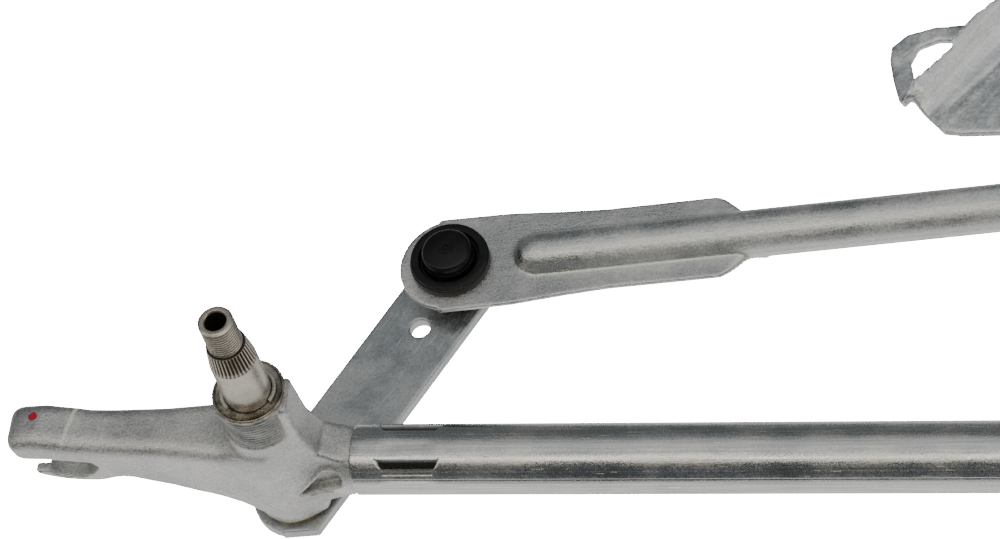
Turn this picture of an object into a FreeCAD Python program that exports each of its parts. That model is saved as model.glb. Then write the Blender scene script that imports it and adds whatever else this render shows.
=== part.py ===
import FreeCAD, Part
import math
import os
import Sketcher

# Front windscreen wiper linkage.  Millimetres.  +Z runs up the left spindle and +X along the
# cross tube.  The origin is on the left spindle, halfway along its M10 thread.  Heights in the
# sheet are counted from the cross tube's axis, which lies tube_drop below the origin.

V = FreeCAD.Vector
doc = FreeCAD.newDocument("wiper_linkage")
sheet = doc.addObject("Spreadsheet::Sheet", "Sizes")

SIZES = {
    # cross tube and spindle spacing
    "tube_drop": 67.7, "pivot_span": 520.0, "tube_dia": 20.0, "tube_wall": 1.5,
    "tube_start": 22.7, "spigot_len": 34.0, "lance_len": 19.0, "lance_wide": 3.0,
    "lance_inset": 6.8, "lance_turn": -33.0,
    # cast pivot housing
    "barrel_dia": 21.4, "barrel_top": 36.0, "barrel_foot": 17.4, "band_dia": 20.8,
    "band_len": 12.0, "barrel_bore": 17.0, "bush_len": 14.0, "neck_dia": 18.4,
    "arm_wide": 14.6, "arm_top": 21.5, "arm_waist": 18.4, "arm_belly": 3.0, "arm_end": 75.0,
    "arm_lip": 12.3, "fork_out": 62.4, "fork_up": 2.6, "fork_bore": 18.0, "fork_wall": 1.8,
    "fork_thick": 3.2, "fork_back": 3.8, "tip_out": 11.3, "tip_drop": 5.6, "tip_long": 3.9,
    "web_thick": 12.0, "web_proud": 0.8, "cut_over": 1.0,
    # spindle, its washers and clip
    "spindle_dia": 13.5, "thread_dia": 10.0, "thread_len": 11.4, "spline_len": 7.6,
    "tip_bore": 6.0, "tip_bore_deep": 12.0, "foot_dia": 11.0, "rivet_dia": 15.0,
    "rivet_thick": 1.6, "run_gap": 0.03, "face_gap": 0.1, "ring_dia": 20.9,
    "ring_thick": 1.6, "clip_dia": 16.6, "clip_thick": 1.1, "thrust_dia": 20.0,
    "thrust_thick": 0.9,
    # levers and crank, cut from the same strip
    "lever_thick": 4.0, "lever_wide": 25.4, "lever_reach": 82.0, "lever_angle": 62.0,
    "lever_hole": 6.0, "lever_hole_out": 62.7, "hub_dia": 26.0,
    # ball joints
    "ball_dia": 13.0, "ball_rise": 7.9, "neck_stud": 9.0, "stud_foot": 16.0,
    "stud_foot_thick": 1.1, "stud_shank": 8.0, "socket_dia": 23.5, "socket_skirt": 20.0,
    "flange_thick": 4.9, "dome_dia": 16.0, "dome_wall": 2.3, "socket_gap": 0.05,
    "skirt_lift": 1.6,
    # pressed links
    "link_angle": 6.0, "left_link_len": 265.0, "pad_thick": 1.8, "pad_wide": 32.0,
    "pad_waist": 27.6, "pad_shoulder": 18.0, "pad_hip": 60.0,
    "pad_len": 78.0, "pad_tail": 7.0, "rod_dia": 14.0, "rod_wall": 1.4,
    "rib_start": 20.0,
    # motor bracket
    "plate_thick": 2.5, "plate_left": 214.0, "plate_over": 42.45, "leg_front": 98.8,
    "ear_strap": 6.5, "hook_over": 10.0, "ridge_rise": 6.0, "corner_round": 4.0, "plate_hole": 30.0,
    # gear motor
    "case_dia": 76.0, "case_wall": 3.0, "case_lift": 5.5, "case_tall": 30.0,
    "lid_thick": 3.0, "boss_out": 43.0, "boss_dia": 14.0, "screw_dia": 6.0,
    "screw_head": 11.0, "neck_len": 18.0, "shaft_dia": 10.0, "shaft_thread": 8.0,
    "nut_flats": 13.0, "nut_tall": 6.5, "shaft_over": 2.0, "gear_dia": 52.0, "gear_tall": 8.0,
    "worm_dia": 10.0, "worm_len": 34.0, "can_dia": 54.0, "can_len": 78.0,
    "can_wall": 1.6, "magnet_thick": 6.0, "core_dia": 36.0, "core_len": 40.0,
    "armature_rod": 6.0, "commutator_dia": 20.0, "commutator_len": 14.0, "magnet_from": 24.0,
    "brush_from": 0.5, "brush_thick": 6.0, "brush_gap": 1.0, "commutator_from": 2.0,
    "flange_long": 4.0, "boss_deep": 12.0, "screw_clear": 0.6, "mesh_gap": 0.3,
    "plug_long": 28.0, "plug_wide": 20.0, "plug_tall": 16.0, "plug_wall": 1.6, "plug_back": 8.0,
    "plug_side": 12.0,
}
for row, (name, value) in enumerate(SIZES.items(), start=1):
    sheet.set("A%d" % row, name)
    sheet.set("B%d" % row, str(value))
    sheet.setAlias("B%d" % row, name)
doc.recompute()

nodes = []


def size(text):
    """Value of a formula in the sheet's names."""
    return float(sheet.evalExpression(bound(text)))


def bound(text):
    """The formula with each sheet name written as Sizes.name."""
    words = []
    word = ""
    for letter in str(text) + " ":
        if letter.isalnum() or letter in "_.":
            word += letter
            continue
        words.append("Sizes." + word if word in SIZES else word)
        words.append(letter)
        word = ""
    return "".join(words).strip()


def new_body(label):
    body = doc.addObject("PartDesign::Body", label)
    body.Label = label
    nodes.append(body)
    return body


def place(thing, x="0", y="0", z="0", turn="0", roll="0"):
    """Put a piece at a formula position, rolled about its own X and then turned about Z."""
    spin = FreeCAD.Rotation(V(0, 0, 1), size(turn)) * FreeCAD.Rotation(V(1, 0, 0), size(roll))
    thing.Placement = FreeCAD.Placement(V(0, 0, 0), spin)
    thing.setExpression("Placement.Base.x", bound(x))
    thing.setExpression("Placement.Base.y", bound(y))
    thing.setExpression("Placement.Base.z", bound(z))


def new_sketch(body, name, plane, lift="0"):
    """An empty sketch on one of the body's origin planes, moved along its normal by lift."""
    sketch = body.newObject("Sketcher::SketchObject", name)
    role = plane + "_Plane"
    flat = [f for f in body.Origin.OriginFeatures if f.Role == role][0]
    sketch.AttachmentSupport = [(flat, "")]
    sketch.MapMode = "FlatFace"
    sketch.setExpression("AttachmentOffset.Base.z", bound(lift))
    return sketch


def pin_point(sketch, geo, end, x, y):
    """Hold one point of the sketch at a formula position."""
    for kind, text in (("DistanceX", x), ("DistanceY", y)):
        value = size(text)
        row = sketch.addConstraint(Sketcher.Constraint(kind, -1, 1, geo, end, value))
        sketch.setExpression("Constraints[%d]" % row, bound(text))


def polygon(sketch, corners):
    """A closed outline through formula corners."""
    first = sketch.GeometryCount
    spots = [V(size(x), size(y), 0) for x, y in corners]
    for here, there in zip(spots, spots[1:] + spots[:1]):
        sketch.addGeometry(Part.LineSegment(here, there), False)
    count = len(corners)
    for i in range(count):
        follower = first + (i + 1) % count
        sketch.addConstraint(Sketcher.Constraint("Coincident", first + i, 2, follower, 1))
    for i, (x, y) in enumerate(corners):
        pin_point(sketch, first + i, 1, x, y)


def circle(sketch, x, y, dia):
    geo = sketch.addGeometry(Part.Circle(V(size(x), size(y), 0), V(0, 0, 1), size(dia) / 2), False)
    pin_point(sketch, geo, 3, x, y)
    row = sketch.addConstraint(Sketcher.Constraint("Diameter", geo, size(dia)))
    sketch.setExpression("Constraints[%d]" % row, bound(dia))


def pad(body, sketch, length, middle=False, back=False):
    feature = body.newObject("PartDesign::Pad", sketch.Name + "_pad")
    feature.Profile = sketch
    feature.setExpression("Length", bound(length))
    feature.Midplane = middle
    feature.Reversed = back
    return feature


def pocket(body, sketch, length, middle=False, back=False):
    feature = body.newObject("PartDesign::Pocket", sketch.Name + "_cut")
    feature.Profile = sketch
    feature.setExpression("Length", bound(length))
    feature.Midplane = middle
    feature.Reversed = back
    return feature


def turned(label, corners):
    """A body of revolution about its own Z, from (radius, height) corners."""
    body = new_body(label)
    sketch = new_sketch(body, label + "_profile", "XZ")
    polygon(sketch, corners)
    feature = body.newObject("PartDesign::Revolution", label + "_turn")
    feature.Profile = sketch
    feature.ReferenceAxis = (sketch, ["V_Axis"])
    feature.Angle = 360.0
    return body


def disc(label, inner, outer, thick):
    """A plain ring or, with inner 0, a plain disc, standing on its own origin."""
    if inner == "0":
        body = new_body(label)
        sketch = new_sketch(body, label + "_face", "XY")
        circle(sketch, "0", "0", outer)
        pad(body, sketch, thick)
        return body
    near = "(" + inner + ") / 2"
    far = "(" + outer + ") / 2"
    return turned(label, [(near, "0"), (far, "0"), (far, thick), (near, thick)])


# ---- places worked out from the sheet ------------------------------------------------------

AXIS = "-tube_drop"
LEVER_TOP = "-tube_drop - barrel_foot - face_gap - thrust_thick"
LEVER_MID = LEVER_TOP + " - lever_thick / 2"
CRANK_X = "left_link_len * cos(link_angle)"
CRANK_Y = "left_link_len * sin(link_angle)"
BALL_X = "lever_reach * cos(lever_angle)"
BALL_Y = "lever_reach * sin(lever_angle)"
SIDES = (("left", "0", "0"), ("right", "pivot_span", "180"))


# ---- cross tube ----------------------------------------------------------------------------

def cross_tube():
    """Drawn steel tube, lanced four times at each end into the housing spigots."""
    body = new_body("cross_tube")
    wall = new_sketch(body, "tube_section", "YZ", "tube_start")
    circle(wall, "0", "0", "tube_dia")
    pad(body, wall, "pivot_span - 2 * tube_start")
    bore = new_sketch(body, "tube_bore", "YZ", "tube_start")
    circle(bore, "0", "0", "tube_dia - 2 * tube_wall")
    pocket(body, bore, "pivot_span - 2 * tube_start", back=True)
    near = "tube_start + lance_inset"
    far = "pivot_span - tube_start - lance_inset - lance_len"
    for plane in ("XY", "XZ"):
        cut = new_sketch(body, "lances_" + plane, plane)
        for left in (near, far):
            right = left + " + lance_len"
            half = "lance_wide / 2"
            polygon(cut, [(left, "-" + half), (right, "-" + half), (right, half), (left, half)])
        pocket(body, cut, "tube_dia + 2 * cut_over", middle=True)
    place(body, z=AXIS, roll="lance_turn")


cross_tube()


# ---- pivot housings ------------------------------------------------------------------------

def pivot_housing(label, x, turn):
    """Die cast barrel with a spigot for the tube and an arm that ends in an open grommet fork."""
    body = new_body(label)
    barrel = new_sketch(body, label + "_barrel", "XY", "-barrel_foot")
    circle(barrel, "0", "0", "barrel_dia")
    pad(body, barrel, "barrel_foot + barrel_top - band_len")
    band = new_sketch(body, label + "_band", "XY", "barrel_top - band_len")
    circle(band, "0", "0", "band_dia")
    pad(body, band, "band_len")

    arm = new_sketch(body, label + "_arm", "XZ")
    polygon(arm, [
        ("-arm_end", "arm_top - 1"), ("-arm_end", "arm_top - 4"), ("-arm_end + 2", "arm_lip"),
        ("-arm_end + 23", "arm_lip - 1.5"), ("-arm_end + 27", "arm_belly"),
        ("-arm_end + 34", "arm_belly"), ("-barrel_dia / 2 + 1", "-neck_dia / 2 + 0.7"),
        ("0", "-neck_dia / 2 - 2.8"), ("0", "arm_waist"), ("-arm_end + 29", "arm_waist"),
        ("-arm_end + 18", "arm_top - 1.9"), ("-arm_end + 9", "arm_top")])
    pad(body, arm, "arm_wide", middle=True)

    tip = "-fork_out - tip_out"
    lip = "fork_up - tip_drop"
    floor = "fork_up - fork_bore / 2 - fork_wall"
    stem = [
        ("-fork_out + tip_drop", floor + " - 0.4"), ("-fork_out + 8.9", floor),
        ("-fork_out + 11.9", floor + " + 1.3"), ("-fork_out + 15.4", floor + " + 1.7"),
        ("-fork_out + 22", "0"), ("-fork_out + 26", "arm_belly"), ("-fork_out + 17", "arm_lip"),
        ("-fork_out + tip_drop", "arm_lip"), ("-fork_out + tip_drop", lip)]
    hook = new_sketch(body, label + "_fork", "XZ")
    polygon(hook, [(tip, lip), (tip + " + 0.6", lip + " - fork_wall"),
                   (tip + " + 5.5", floor + " + 1.3"), ("-fork_out", floor)] + stem)
    pad(body, hook, "fork_thick", middle=True)
    shelf = new_sketch(body, label + "_fork_shelf", "XZ", "-fork_thick / 2")
    step = tip + " + tip_long"
    polygon(shelf, [(step, lip), (step, lip + " - fork_wall - 1.4"),
                    (tip + " + 5.5", floor + " + 1.3"), ("-fork_out", floor)] + stem)
    pad(body, shelf, "fork_back", back=True)

    neck = new_sketch(body, label + "_neck", "YZ")
    circle(neck, "0", "0", "neck_dia")
    pad(body, neck, "tube_start")
    web = new_sketch(body, label + "_web", "XZ")
    polygon(web, [
        ("0", "barrel_top - 0.5"), ("band_dia / 2 + web_proud", "barrel_top - 0.5"),
        ("barrel_dia / 2 + 1.4", "20"), ("barrel_dia / 2 + 4", "12.5"),
        ("tube_start - 3.5", "neck_dia / 2 - 0.3"), ("tube_start - 3.5", "-neck_dia / 2 + 0.3"),
        ("barrel_dia / 2 + 2", "-13"), ("barrel_dia / 2 - 0.4", "-barrel_foot + 1"),
        ("0", "-barrel_foot + 1")])
    pad(body, web, "web_thick", middle=True)
    spigot = new_sketch(body, label + "_spigot", "YZ", "tube_start")
    circle(spigot, "0", "0", "tube_dia - 2 * tube_wall")
    pad(body, spigot, "spigot_len")

    shaft = new_sketch(body, label + "_bore", "XY", "-barrel_foot - cut_over")
    circle(shaft, "0", "0", "barrel_bore")
    pocket(body, shaft, "barrel_foot + barrel_top + 2 * cut_over", back=True)
    seat = new_sketch(body, label + "_fork_bore", "XZ")
    circle(seat, "-fork_out", "fork_up", "fork_bore")
    pocket(body, seat, "arm_wide + 2 * cut_over", middle=True)
    place(body, x=x, z=AXIS, turn=turn)


for side, pivot_x, pivot_turn in SIDES:
    pivot_housing(side + "_pivot_housing", pivot_x, pivot_turn)
    for which, bottom in (("upper", "barrel_top - bush_len - 0.5"), ("lower", "0.5 - barrel_foot")):
        bush = disc(side + "_" + which + "_bush", "spindle_dia + 2 * run_gap", "barrel_bore",
                    "bush_len")
        place(bush, x=pivot_x, z=AXIS + " + " + bottom)


# ---- spindles and what turns with them -----------------------------------------------------

def spindle(label, x):
    """Steel spindle: riveted foot, plain shank, splined taper, M10 thread with a centre bore."""
    shank = "spindle_dia / 2"
    tip = "thread_len / 2"
    foot = LEVER_TOP + " - lever_thick"
    body = turned(label, [
        ("0", foot + " - rivet_thick"), ("rivet_dia / 2 - 1", foot + " - rivet_thick"),
        ("rivet_dia / 2", foot), ("foot_dia / 2", foot), ("foot_dia / 2", LEVER_TOP),
        (shank, LEVER_TOP), (shank, "-thread_len / 2 - spline_len"),
        ("thread_dia / 2 + 0.6", "-thread_len / 2"), ("thread_dia / 2", "-thread_len / 2"),
        ("thread_dia / 2", tip + " - 0.6"), ("thread_dia / 2 - 0.6", tip),
        ("tip_bore / 2", tip), ("tip_bore / 2", tip + " - tip_bore_deep"),
        ("0", tip + " - tip_bore_deep")])
    place(body, x=x)


def flat_arm(label, x, y, hole, foot):
    """Straight arm of flat strip: round hub end with one square corner, round far end."""
    body = new_body(label)
    strip = new_sketch(body, label + "_strip", "XY")
    half = "lever_wide / 2"
    polygon(strip, [
        ("-lever_wide * 0.27", "-" + half), ("lever_reach", "-" + half), ("lever_reach", half),
        ("0", half), ("-" + half, "-lever_wide * 0.15")])
    pad(body, strip, "lever_thick")
    for name, out in (("hub", "0"), ("nose", "lever_reach")):
        end = new_sketch(body, label + "_" + name, "XY")
        circle(end, out, "0", "lever_wide")
        pad(body, end, "lever_thick")
    holes = new_sketch(body, label + "_holes", "XY")
    circle(holes, "0", "0", foot)
    circle(holes, "lever_reach", "0", "stud_shank")
    if hole:
        circle(holes, "lever_hole_out", "0", "lever_hole")
    pocket(body, holes, "lever_thick", back=True)
    place(body, x=x, y=y, z=LEVER_TOP + " - lever_thick", turn="lever_angle")


def sphere(body, kind, radius):
    """Add or cut a ball centred ball_rise up the body's axis, by turning a half disc."""
    profile = new_sketch(body, body.Label + "_half_disc", "XZ")
    reach = size(radius)
    middle = V(0, size("ball_rise"), 0)
    quarter = math.pi / 2
    arc = Part.ArcOfCircle(Part.Circle(middle, V(0, 0, 1), reach), -quarter, quarter)
    edge = profile.addGeometry(arc, False)
    chord = Part.LineSegment(middle + V(0, reach, 0), middle - V(0, reach, 0))
    flat = profile.addGeometry(chord, False)
    profile.addConstraint(Sketcher.Constraint("Coincident", edge, 2, flat, 1))
    profile.addConstraint(Sketcher.Constraint("Coincident", edge, 1, flat, 2))
    pin_point(profile, edge, 3, "0", "ball_rise")
    profile.addConstraint(Sketcher.Constraint("PointOnObject", edge, 1, -2))
    profile.addConstraint(Sketcher.Constraint("PointOnObject", edge, 2, -2))
    row = profile.addConstraint(Sketcher.Constraint("Radius", edge, reach))
    profile.setExpression("Constraints[%d]" % row, bound(radius))
    ball = body.newObject(kind, body.Label + "_ball")
    ball.Profile = profile
    ball.ReferenceAxis = (profile, ["V_Axis"])
    ball.Angle = 360.0


def ball_stud(label, x, y, shank, head, flip):
    """Ball on a waisted neck; the shank is pressed into the arm and, if long, riveted over."""
    neck_up = "ball_rise - ball_dia * 0.36"
    corners = [("0", "-" + shank)]
    if head:
        corners = [("0", "-" + shank + " - rivet_thick"),
                   ("stud_shank / 2 + 1.4", "-" + shank + " - rivet_thick"),
                   ("stud_shank / 2 + 2", "-" + shank)]
    corners += [
        ("stud_shank / 2", "-" + shank), ("stud_shank / 2", "0"), ("stud_foot / 2", "0"),
        ("stud_foot / 2", "stud_foot_thick"), ("neck_stud / 2", "stud_foot_thick"),
        ("neck_stud / 2", neck_up), ("0", neck_up)]
    body = turned(label, corners)
    sphere(body, "PartDesign::Revolution", "ball_dia / 2")
    height = LEVER_TOP + " - lever_thick" if flip else LEVER_TOP
    place(body, x=x, y=y, z=height, roll="180" if flip else "0")


for side, pivot_x, pivot_turn in SIDES:
    spindle(side + "_spindle", pivot_x)
    top = AXIS + " + barrel_top + face_gap"
    ring = disc(side + "_ring_washer", "spindle_dia", "ring_dia", "ring_thick")
    place(ring, x=pivot_x, z=top)
    clip = disc(side + "_circlip", "spindle_dia", "clip_dia", "clip_thick")
    place(clip, x=pivot_x, z=top + " + ring_thick")
    thrust = disc(side + "_thrust_washer", "spindle_dia", "thrust_dia", "thrust_thick")
    place(thrust, x=pivot_x, z=LEVER_TOP)
    flat_arm(side + "_lever", pivot_x, "0", True, "foot_dia")
    ball_stud(side + "_ball_stud", pivot_x + " + " + BALL_X, BALL_Y, "lever_thick", True,
              side == "right")

flat_arm("crank_arm", CRANK_X, CRANK_Y, False, "shaft_thread")
for which, over in (("upper", False), ("lower", True)):
    ball_stud(which + "_crank_ball", CRANK_X + " + " + BALL_X, CRANK_Y + " + " + BALL_Y,
              "lever_thick / 2", False, over)


# ---- links ---------------------------------------------------------------------------------

RIGHT_RUN = "(pivot_span - " + CRANK_X + ")"
RIGHT_LEN = "sqrt(" + RIGHT_RUN + "^2 + (" + CRANK_Y + ")^2)"
RIGHT_TURN = "-asin(" + CRANK_Y + " / " + RIGHT_LEN + ")"
PAD_MID = "(ball_rise - 0.8)"


def link(label, length, x, y, turn, flip):
    """Pressed strip: flat pads with a raised rib at both ends, rolled to a tube between them."""
    body = new_body(label)
    half = "pad_wide / 2"
    waist = "pad_waist / 2"
    tail = "pad_len + pad_tail"
    far = "(" + length + ")"
    edge = [("0", half), ("pad_shoulder", half + " - 0.2"), ("pad_hip", waist + " + 0.4"),
            ("pad_len", waist), (tail, "rod_dia / 2 - 1")]
    mirrored = [(far + " - (" + x + ")", y) for x, y in edge[::-1]]
    upper = edge + mirrored
    flat = new_sketch(body, label + "_pads", "XY", "-pad_thick / 2")
    polygon(flat, upper + [(x, "-(" + y + ")") for x, y in upper[::-1]])
    pad(body, flat, "pad_thick")
    for name, out in (("near", "0"), ("far", far)):
        end = new_sketch(body, label + "_" + name, "XY", "-pad_thick / 2")
        circle(end, out, "0", "pad_wide")
        pad(body, end, "pad_thick")
    rod = new_sketch(body, label + "_rod", "YZ", "rib_start")
    circle(rod, "0", "0", "rod_dia")
    pad(body, rod, far + " - 2 * rib_start")
    below = "-rod_dia"
    under = new_sketch(body, label + "_underside", "XZ")
    for start, stop in (("rib_start - 1", tail), (far + " - " + tail, far + " - rib_start + 1")):
        polygon(under, [
            (start, below), (stop, below), (stop, "-pad_thick / 2"), (start, "-pad_thick / 2")])
    pocket(body, under, "pad_wide + 2 * cut_over", middle=True)
    hollow = new_sketch(body, label + "_hollow", "YZ", "rib_start + rod_wall")
    circle(hollow, "0", "0", "rod_dia - 2 * rod_wall")
    pocket(body, hollow, far + " - 2 * rib_start - 2 * rod_wall", back=True)
    seats = new_sketch(body, label + "_seats", "XY", "-pad_thick / 2 - cut_over")
    circle(seats, "0", "0", "socket_skirt")
    circle(seats, far, "0", "socket_skirt")
    pocket(body, seats, "pad_thick + 2 * cut_over", back=True)
    middle = LEVER_TOP + " - lever_thick - " + PAD_MID if flip else LEVER_TOP + " + " + PAD_MID
    place(body, x=x, y=y, z=middle, turn=turn, roll="180" if flip else "0")


def socket(label, x, y, flip):
    """Moulded ball socket clipped through a pad: skirt below, stacked flanges and dome above."""
    rim = "socket_dia / 2"
    skirt = "socket_skirt / 2"
    seat = PAD_MID + " + pad_thick / 2"
    top = "ball_rise + ball_dia / 2 + dome_wall"
    body = turned(label, [
        ("0", "skirt_lift"), (skirt, "skirt_lift"), (skirt, seat), (rim, seat),
        (rim, seat + " + flange_thick - 1.2"), (rim + " - 1.8", seat + " + flange_thick - 1.2"),
        (rim + " - 1.8", seat + " + flange_thick"), ("dome_dia / 2", seat + " + flange_thick"),
        ("dome_dia / 2", top + " - 3"), ("dome_dia / 2 - 2.4", top + " - 0.6"),
        ("2", top), ("0", top)])
    mouth = new_sketch(body, label + "_mouth", "XY", "skirt_lift - cut_over")
    circle(mouth, "0", "0", "ball_dia * 0.9")
    pocket(body, mouth, "ball_rise - skirt_lift + cut_over", back=True)
    sphere(body, "PartDesign::Groove", "ball_dia / 2 + socket_gap")
    height = LEVER_TOP + " - lever_thick" if flip else LEVER_TOP
    place(body, x=x, y=y, z=height, roll="180" if flip else "0")


link("left_link", "left_link_len", BALL_X, BALL_Y, "link_angle", False)
socket("left_outer_socket", BALL_X, BALL_Y, False)
socket("left_crank_socket", CRANK_X + " + " + BALL_X, CRANK_Y + " + " + BALL_Y, False)
link("right_link", RIGHT_LEN, CRANK_X + " + " + BALL_X, CRANK_Y + " + " + BALL_Y, RIGHT_TURN, True)
socket("right_outer_socket", "pivot_span + " + BALL_X, BALL_Y, True)
socket("right_crank_socket", CRANK_X + " + " + BALL_X, CRANK_Y + " + " + BALL_Y, True)


# ---- motor bracket -------------------------------------------------------------------------

PLATE_LOW = "tube_dia / 2"
PLATE_TOP = "tube_dia / 2 + plate_thick"
PLATE_RIGHT = CRANK_X + " + plate_over"
PLATE_LONG = PLATE_RIGHT + " - plate_left"
BOSSES = ("-10", "90", "190")


def round_uprights(body, base, radius, wanted):
    """Round the vertical corner edges of base whose middle point is wanted."""
    chosen = []
    for number, edge in enumerate(base.Shape.Edges, start=1):
        along = edge.Vertexes[-1].Point - edge.Vertexes[0].Point
        straight = isinstance(edge.Curve, Part.Line)
        if straight and abs(along.z) > 0.99 * along.Length and wanted(edge.CenterOfMass):
            chosen.append("Edge%d" % number)
    feature = body.newObject("PartDesign::Fillet", body.Label + "_rounds")
    feature.Base = (base, chosen)
    feature.setExpression("Radius", bound(radius))
    return feature


def bracket():
    """Pressed steel plate hooked round the tube, with a ridged leg that ends in an open eye."""
    body = new_body("motor_bracket")
    plate = new_sketch(body, "bracket_plate", "XY", PLATE_LOW)
    polygon(plate, [
        ("plate_left", "0"), (PLATE_RIGHT, "0"), (PLATE_RIGHT + " + 9", "12"),
        (PLATE_RIGHT + " + 9", "26"), (PLATE_RIGHT + " - 16", "48"), (PLATE_RIGHT + " - 26", "96"),
        ("plate_left + 30", "150"), ("plate_left - 8", "150"), ("plate_left - 22", "137"),
        ("plate_left - 38", "136"), ("plate_left - 48", "130"), ("plate_left - 44", "109"),
        ("plate_left - 38", "109"), ("plate_left - 30", "leg_front"),
        ("plate_left - 2", "leg_front"), ("plate_left + 6", "leg_front - 12"),
        ("plate_left + 6", "42"), ("plate_left - 4", "30"), ("plate_left - 4", "10")])
    blank = pad(body, plate, "plate_thick")
    eye = new_sketch(body, "bracket_eye", "XY", PLATE_LOW)
    polygon(eye, [
        ("plate_left - 48 + ear_strap", "122"), ("plate_left - 45 + ear_strap", "130"),
        ("plate_left - 30", "131"), ("plate_left - 29", "126"), ("plate_left - 37.5", "114.5")])
    hole = pocket(body, eye, "plate_thick", back=True)
    doc.recompute()
    rounded = round_uprights(body, hole, "corner_round / 2", lambda spot: spot.y > 90)
    body.Tip = rounded

    ridge = new_sketch(body, "bracket_ridge", "XY", PLATE_TOP)
    polygon(ridge, [
        ("plate_left - 38", "112"), ("plate_left - 33", "105"), ("plate_left + 8", "134"),
        ("plate_left + 26", "146"), ("plate_left - 6", "148"), ("plate_left - 17", "144")])
    pad(body, ridge, "ridge_rise")
    under = new_sketch(body, "bracket_ridge_hollow", "XY", PLATE_LOW)
    polygon(under, [
        ("plate_left - 26", "117"), ("plate_left + 6", "137"), ("plate_left + 14", "142"),
        ("plate_left - 4", "144"), ("plate_left - 13", "140")])
    pocket(body, under, "ridge_rise", back=True)

    hook = new_sketch(body, "bracket_hook", "YZ", "plate_left")
    circle(hook, "0", "0", "tube_dia + 2 * plate_thick")
    pad(body, hook, PLATE_LONG)
    inside = new_sketch(body, "bracket_hook_bore", "YZ", "plate_left - hook_over")
    circle(inside, "0", "0", "tube_dia")
    pocket(body, inside, PLATE_LONG + " + 2 * hook_over", back=True)
    open_side = new_sketch(body, "bracket_hook_open", "YZ", "plate_left - hook_over")
    outside = "tube_dia / 2 + plate_thick + 1"
    polygon(open_side, [
        ("0", "-" + outside), (outside, "-" + outside), (outside, PLATE_LOW), ("0", PLATE_LOW)])
    pocket(body, open_side, PLATE_LONG + " + 2 * hook_over", back=True)

    holes = new_sketch(body, "bracket_holes", "XY", PLATE_LOW + " - cut_over")
    circle(holes, CRANK_X, CRANK_Y, "plate_hole")
    for angle in BOSSES:
        circle(holes, CRANK_X + " + boss_out * cos(" + angle + ")",
               CRANK_Y + " + boss_out * sin(" + angle + ")", "screw_dia + screw_clear")
    pocket(body, holes, "plate_thick + 2 * cut_over", back=True)
    place(body, z=AXIS)


bracket()


# ---- gear motor ----------------------------------------------------------------------------

CASE_LOW = PLATE_TOP + " + case_lift"
CASE_TOP = CASE_LOW + " + case_tall"
WORM_Y = CRANK_Y + " + gear_dia / 2 + worm_dia / 2 + mesh_gap"
WORM_Z = CASE_LOW + " + case_tall / 2"
CAN_X = CRANK_X + " + case_dia / 2 + flange_long"


def gear_case():
    """Cast pot for the worm wheel with a worm tunnel, a shaft neck and three screw bosses."""
    body = new_body("gear_case")
    pot = new_sketch(body, "case_pot", "XY", CASE_LOW)
    circle(pot, CRANK_X, CRANK_Y, "case_dia")
    pad(body, pot, "case_tall")
    tunnel = new_sketch(body, "case_tunnel", "YZ", CRANK_X + " - case_dia / 2")
    circle(tunnel, WORM_Y, WORM_Z, "worm_dia + 14")
    pad(body, tunnel, "case_dia + 2")
    face = new_sketch(body, "case_flange", "YZ", CAN_X + " - flange_long")
    circle(face, WORM_Y, WORM_Z, "can_dia")
    pad(body, face, "flange_long")
    neck = new_sketch(body, "case_neck", "XY", CASE_LOW + " - neck_len")
    circle(neck, CRANK_X, CRANK_Y, "hub_dia")
    pad(body, neck, "neck_len")
    bosses = new_sketch(body, "case_bosses", "XY", PLATE_TOP)
    for angle in BOSSES:
        circle(bosses, CRANK_X + " + boss_out * cos(" + angle + ")",
               CRANK_Y + " + boss_out * sin(" + angle + ")", "boss_dia")
    pad(body, bosses, "case_lift + boss_deep")
    inside = new_sketch(body, "case_inside", "XY", CASE_LOW + " + case_wall")
    circle(inside, CRANK_X, CRANK_Y, "case_dia - 2 * case_wall")
    pocket(body, inside, "case_tall", back=True)
    bore = new_sketch(body, "case_worm_bore", "YZ", CRANK_X + " - case_dia / 2 + case_wall")
    circle(bore, WORM_Y, WORM_Z, "worm_dia + 4")
    pocket(body, bore, "case_dia + 10", back=True)
    shaft = new_sketch(body, "case_shaft_bore", "XY", CASE_LOW + " - neck_len - cut_over")
    circle(shaft, CRANK_X, CRANK_Y, "shaft_dia + 2 * run_gap")
    pocket(body, shaft, "neck_len + case_wall + 2 * cut_over", back=True)
    screws = new_sketch(body, "case_screw_holes", "XY", PLATE_TOP + " - cut_over")
    for angle in BOSSES:
        circle(screws, CRANK_X + " + boss_out * cos(" + angle + ")",
               CRANK_Y + " + boss_out * sin(" + angle + ")", "screw_dia")
    pocket(body, screws, "boss_deep + cut_over", back=True)
    place(body, z=AXIS)


gear_case()

lid = disc("gear_lid", "0", "case_dia", "lid_thick")
place(lid, x=CRANK_X, y=CRANK_Y, z=AXIS + " + " + CASE_TOP)

SCREW_TOP = "plate_thick + boss_deep - cut_over"
for number, angle in enumerate(BOSSES, start=1):
    screw = turned("bracket_screw_%d" % number, [
        ("0", "-screw_dia * 0.7"), ("screw_head / 2", "-screw_dia * 0.7"), ("screw_head / 2", "0"),
        ("screw_dia / 2", "0"), ("screw_dia / 2", SCREW_TOP), ("0", SCREW_TOP)])
    place(screw, x=CRANK_X + " + boss_out * cos(" + angle + ")",
          y=CRANK_Y + " + boss_out * sin(" + angle + ")", z=AXIS + " + " + PLATE_LOW)


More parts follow.
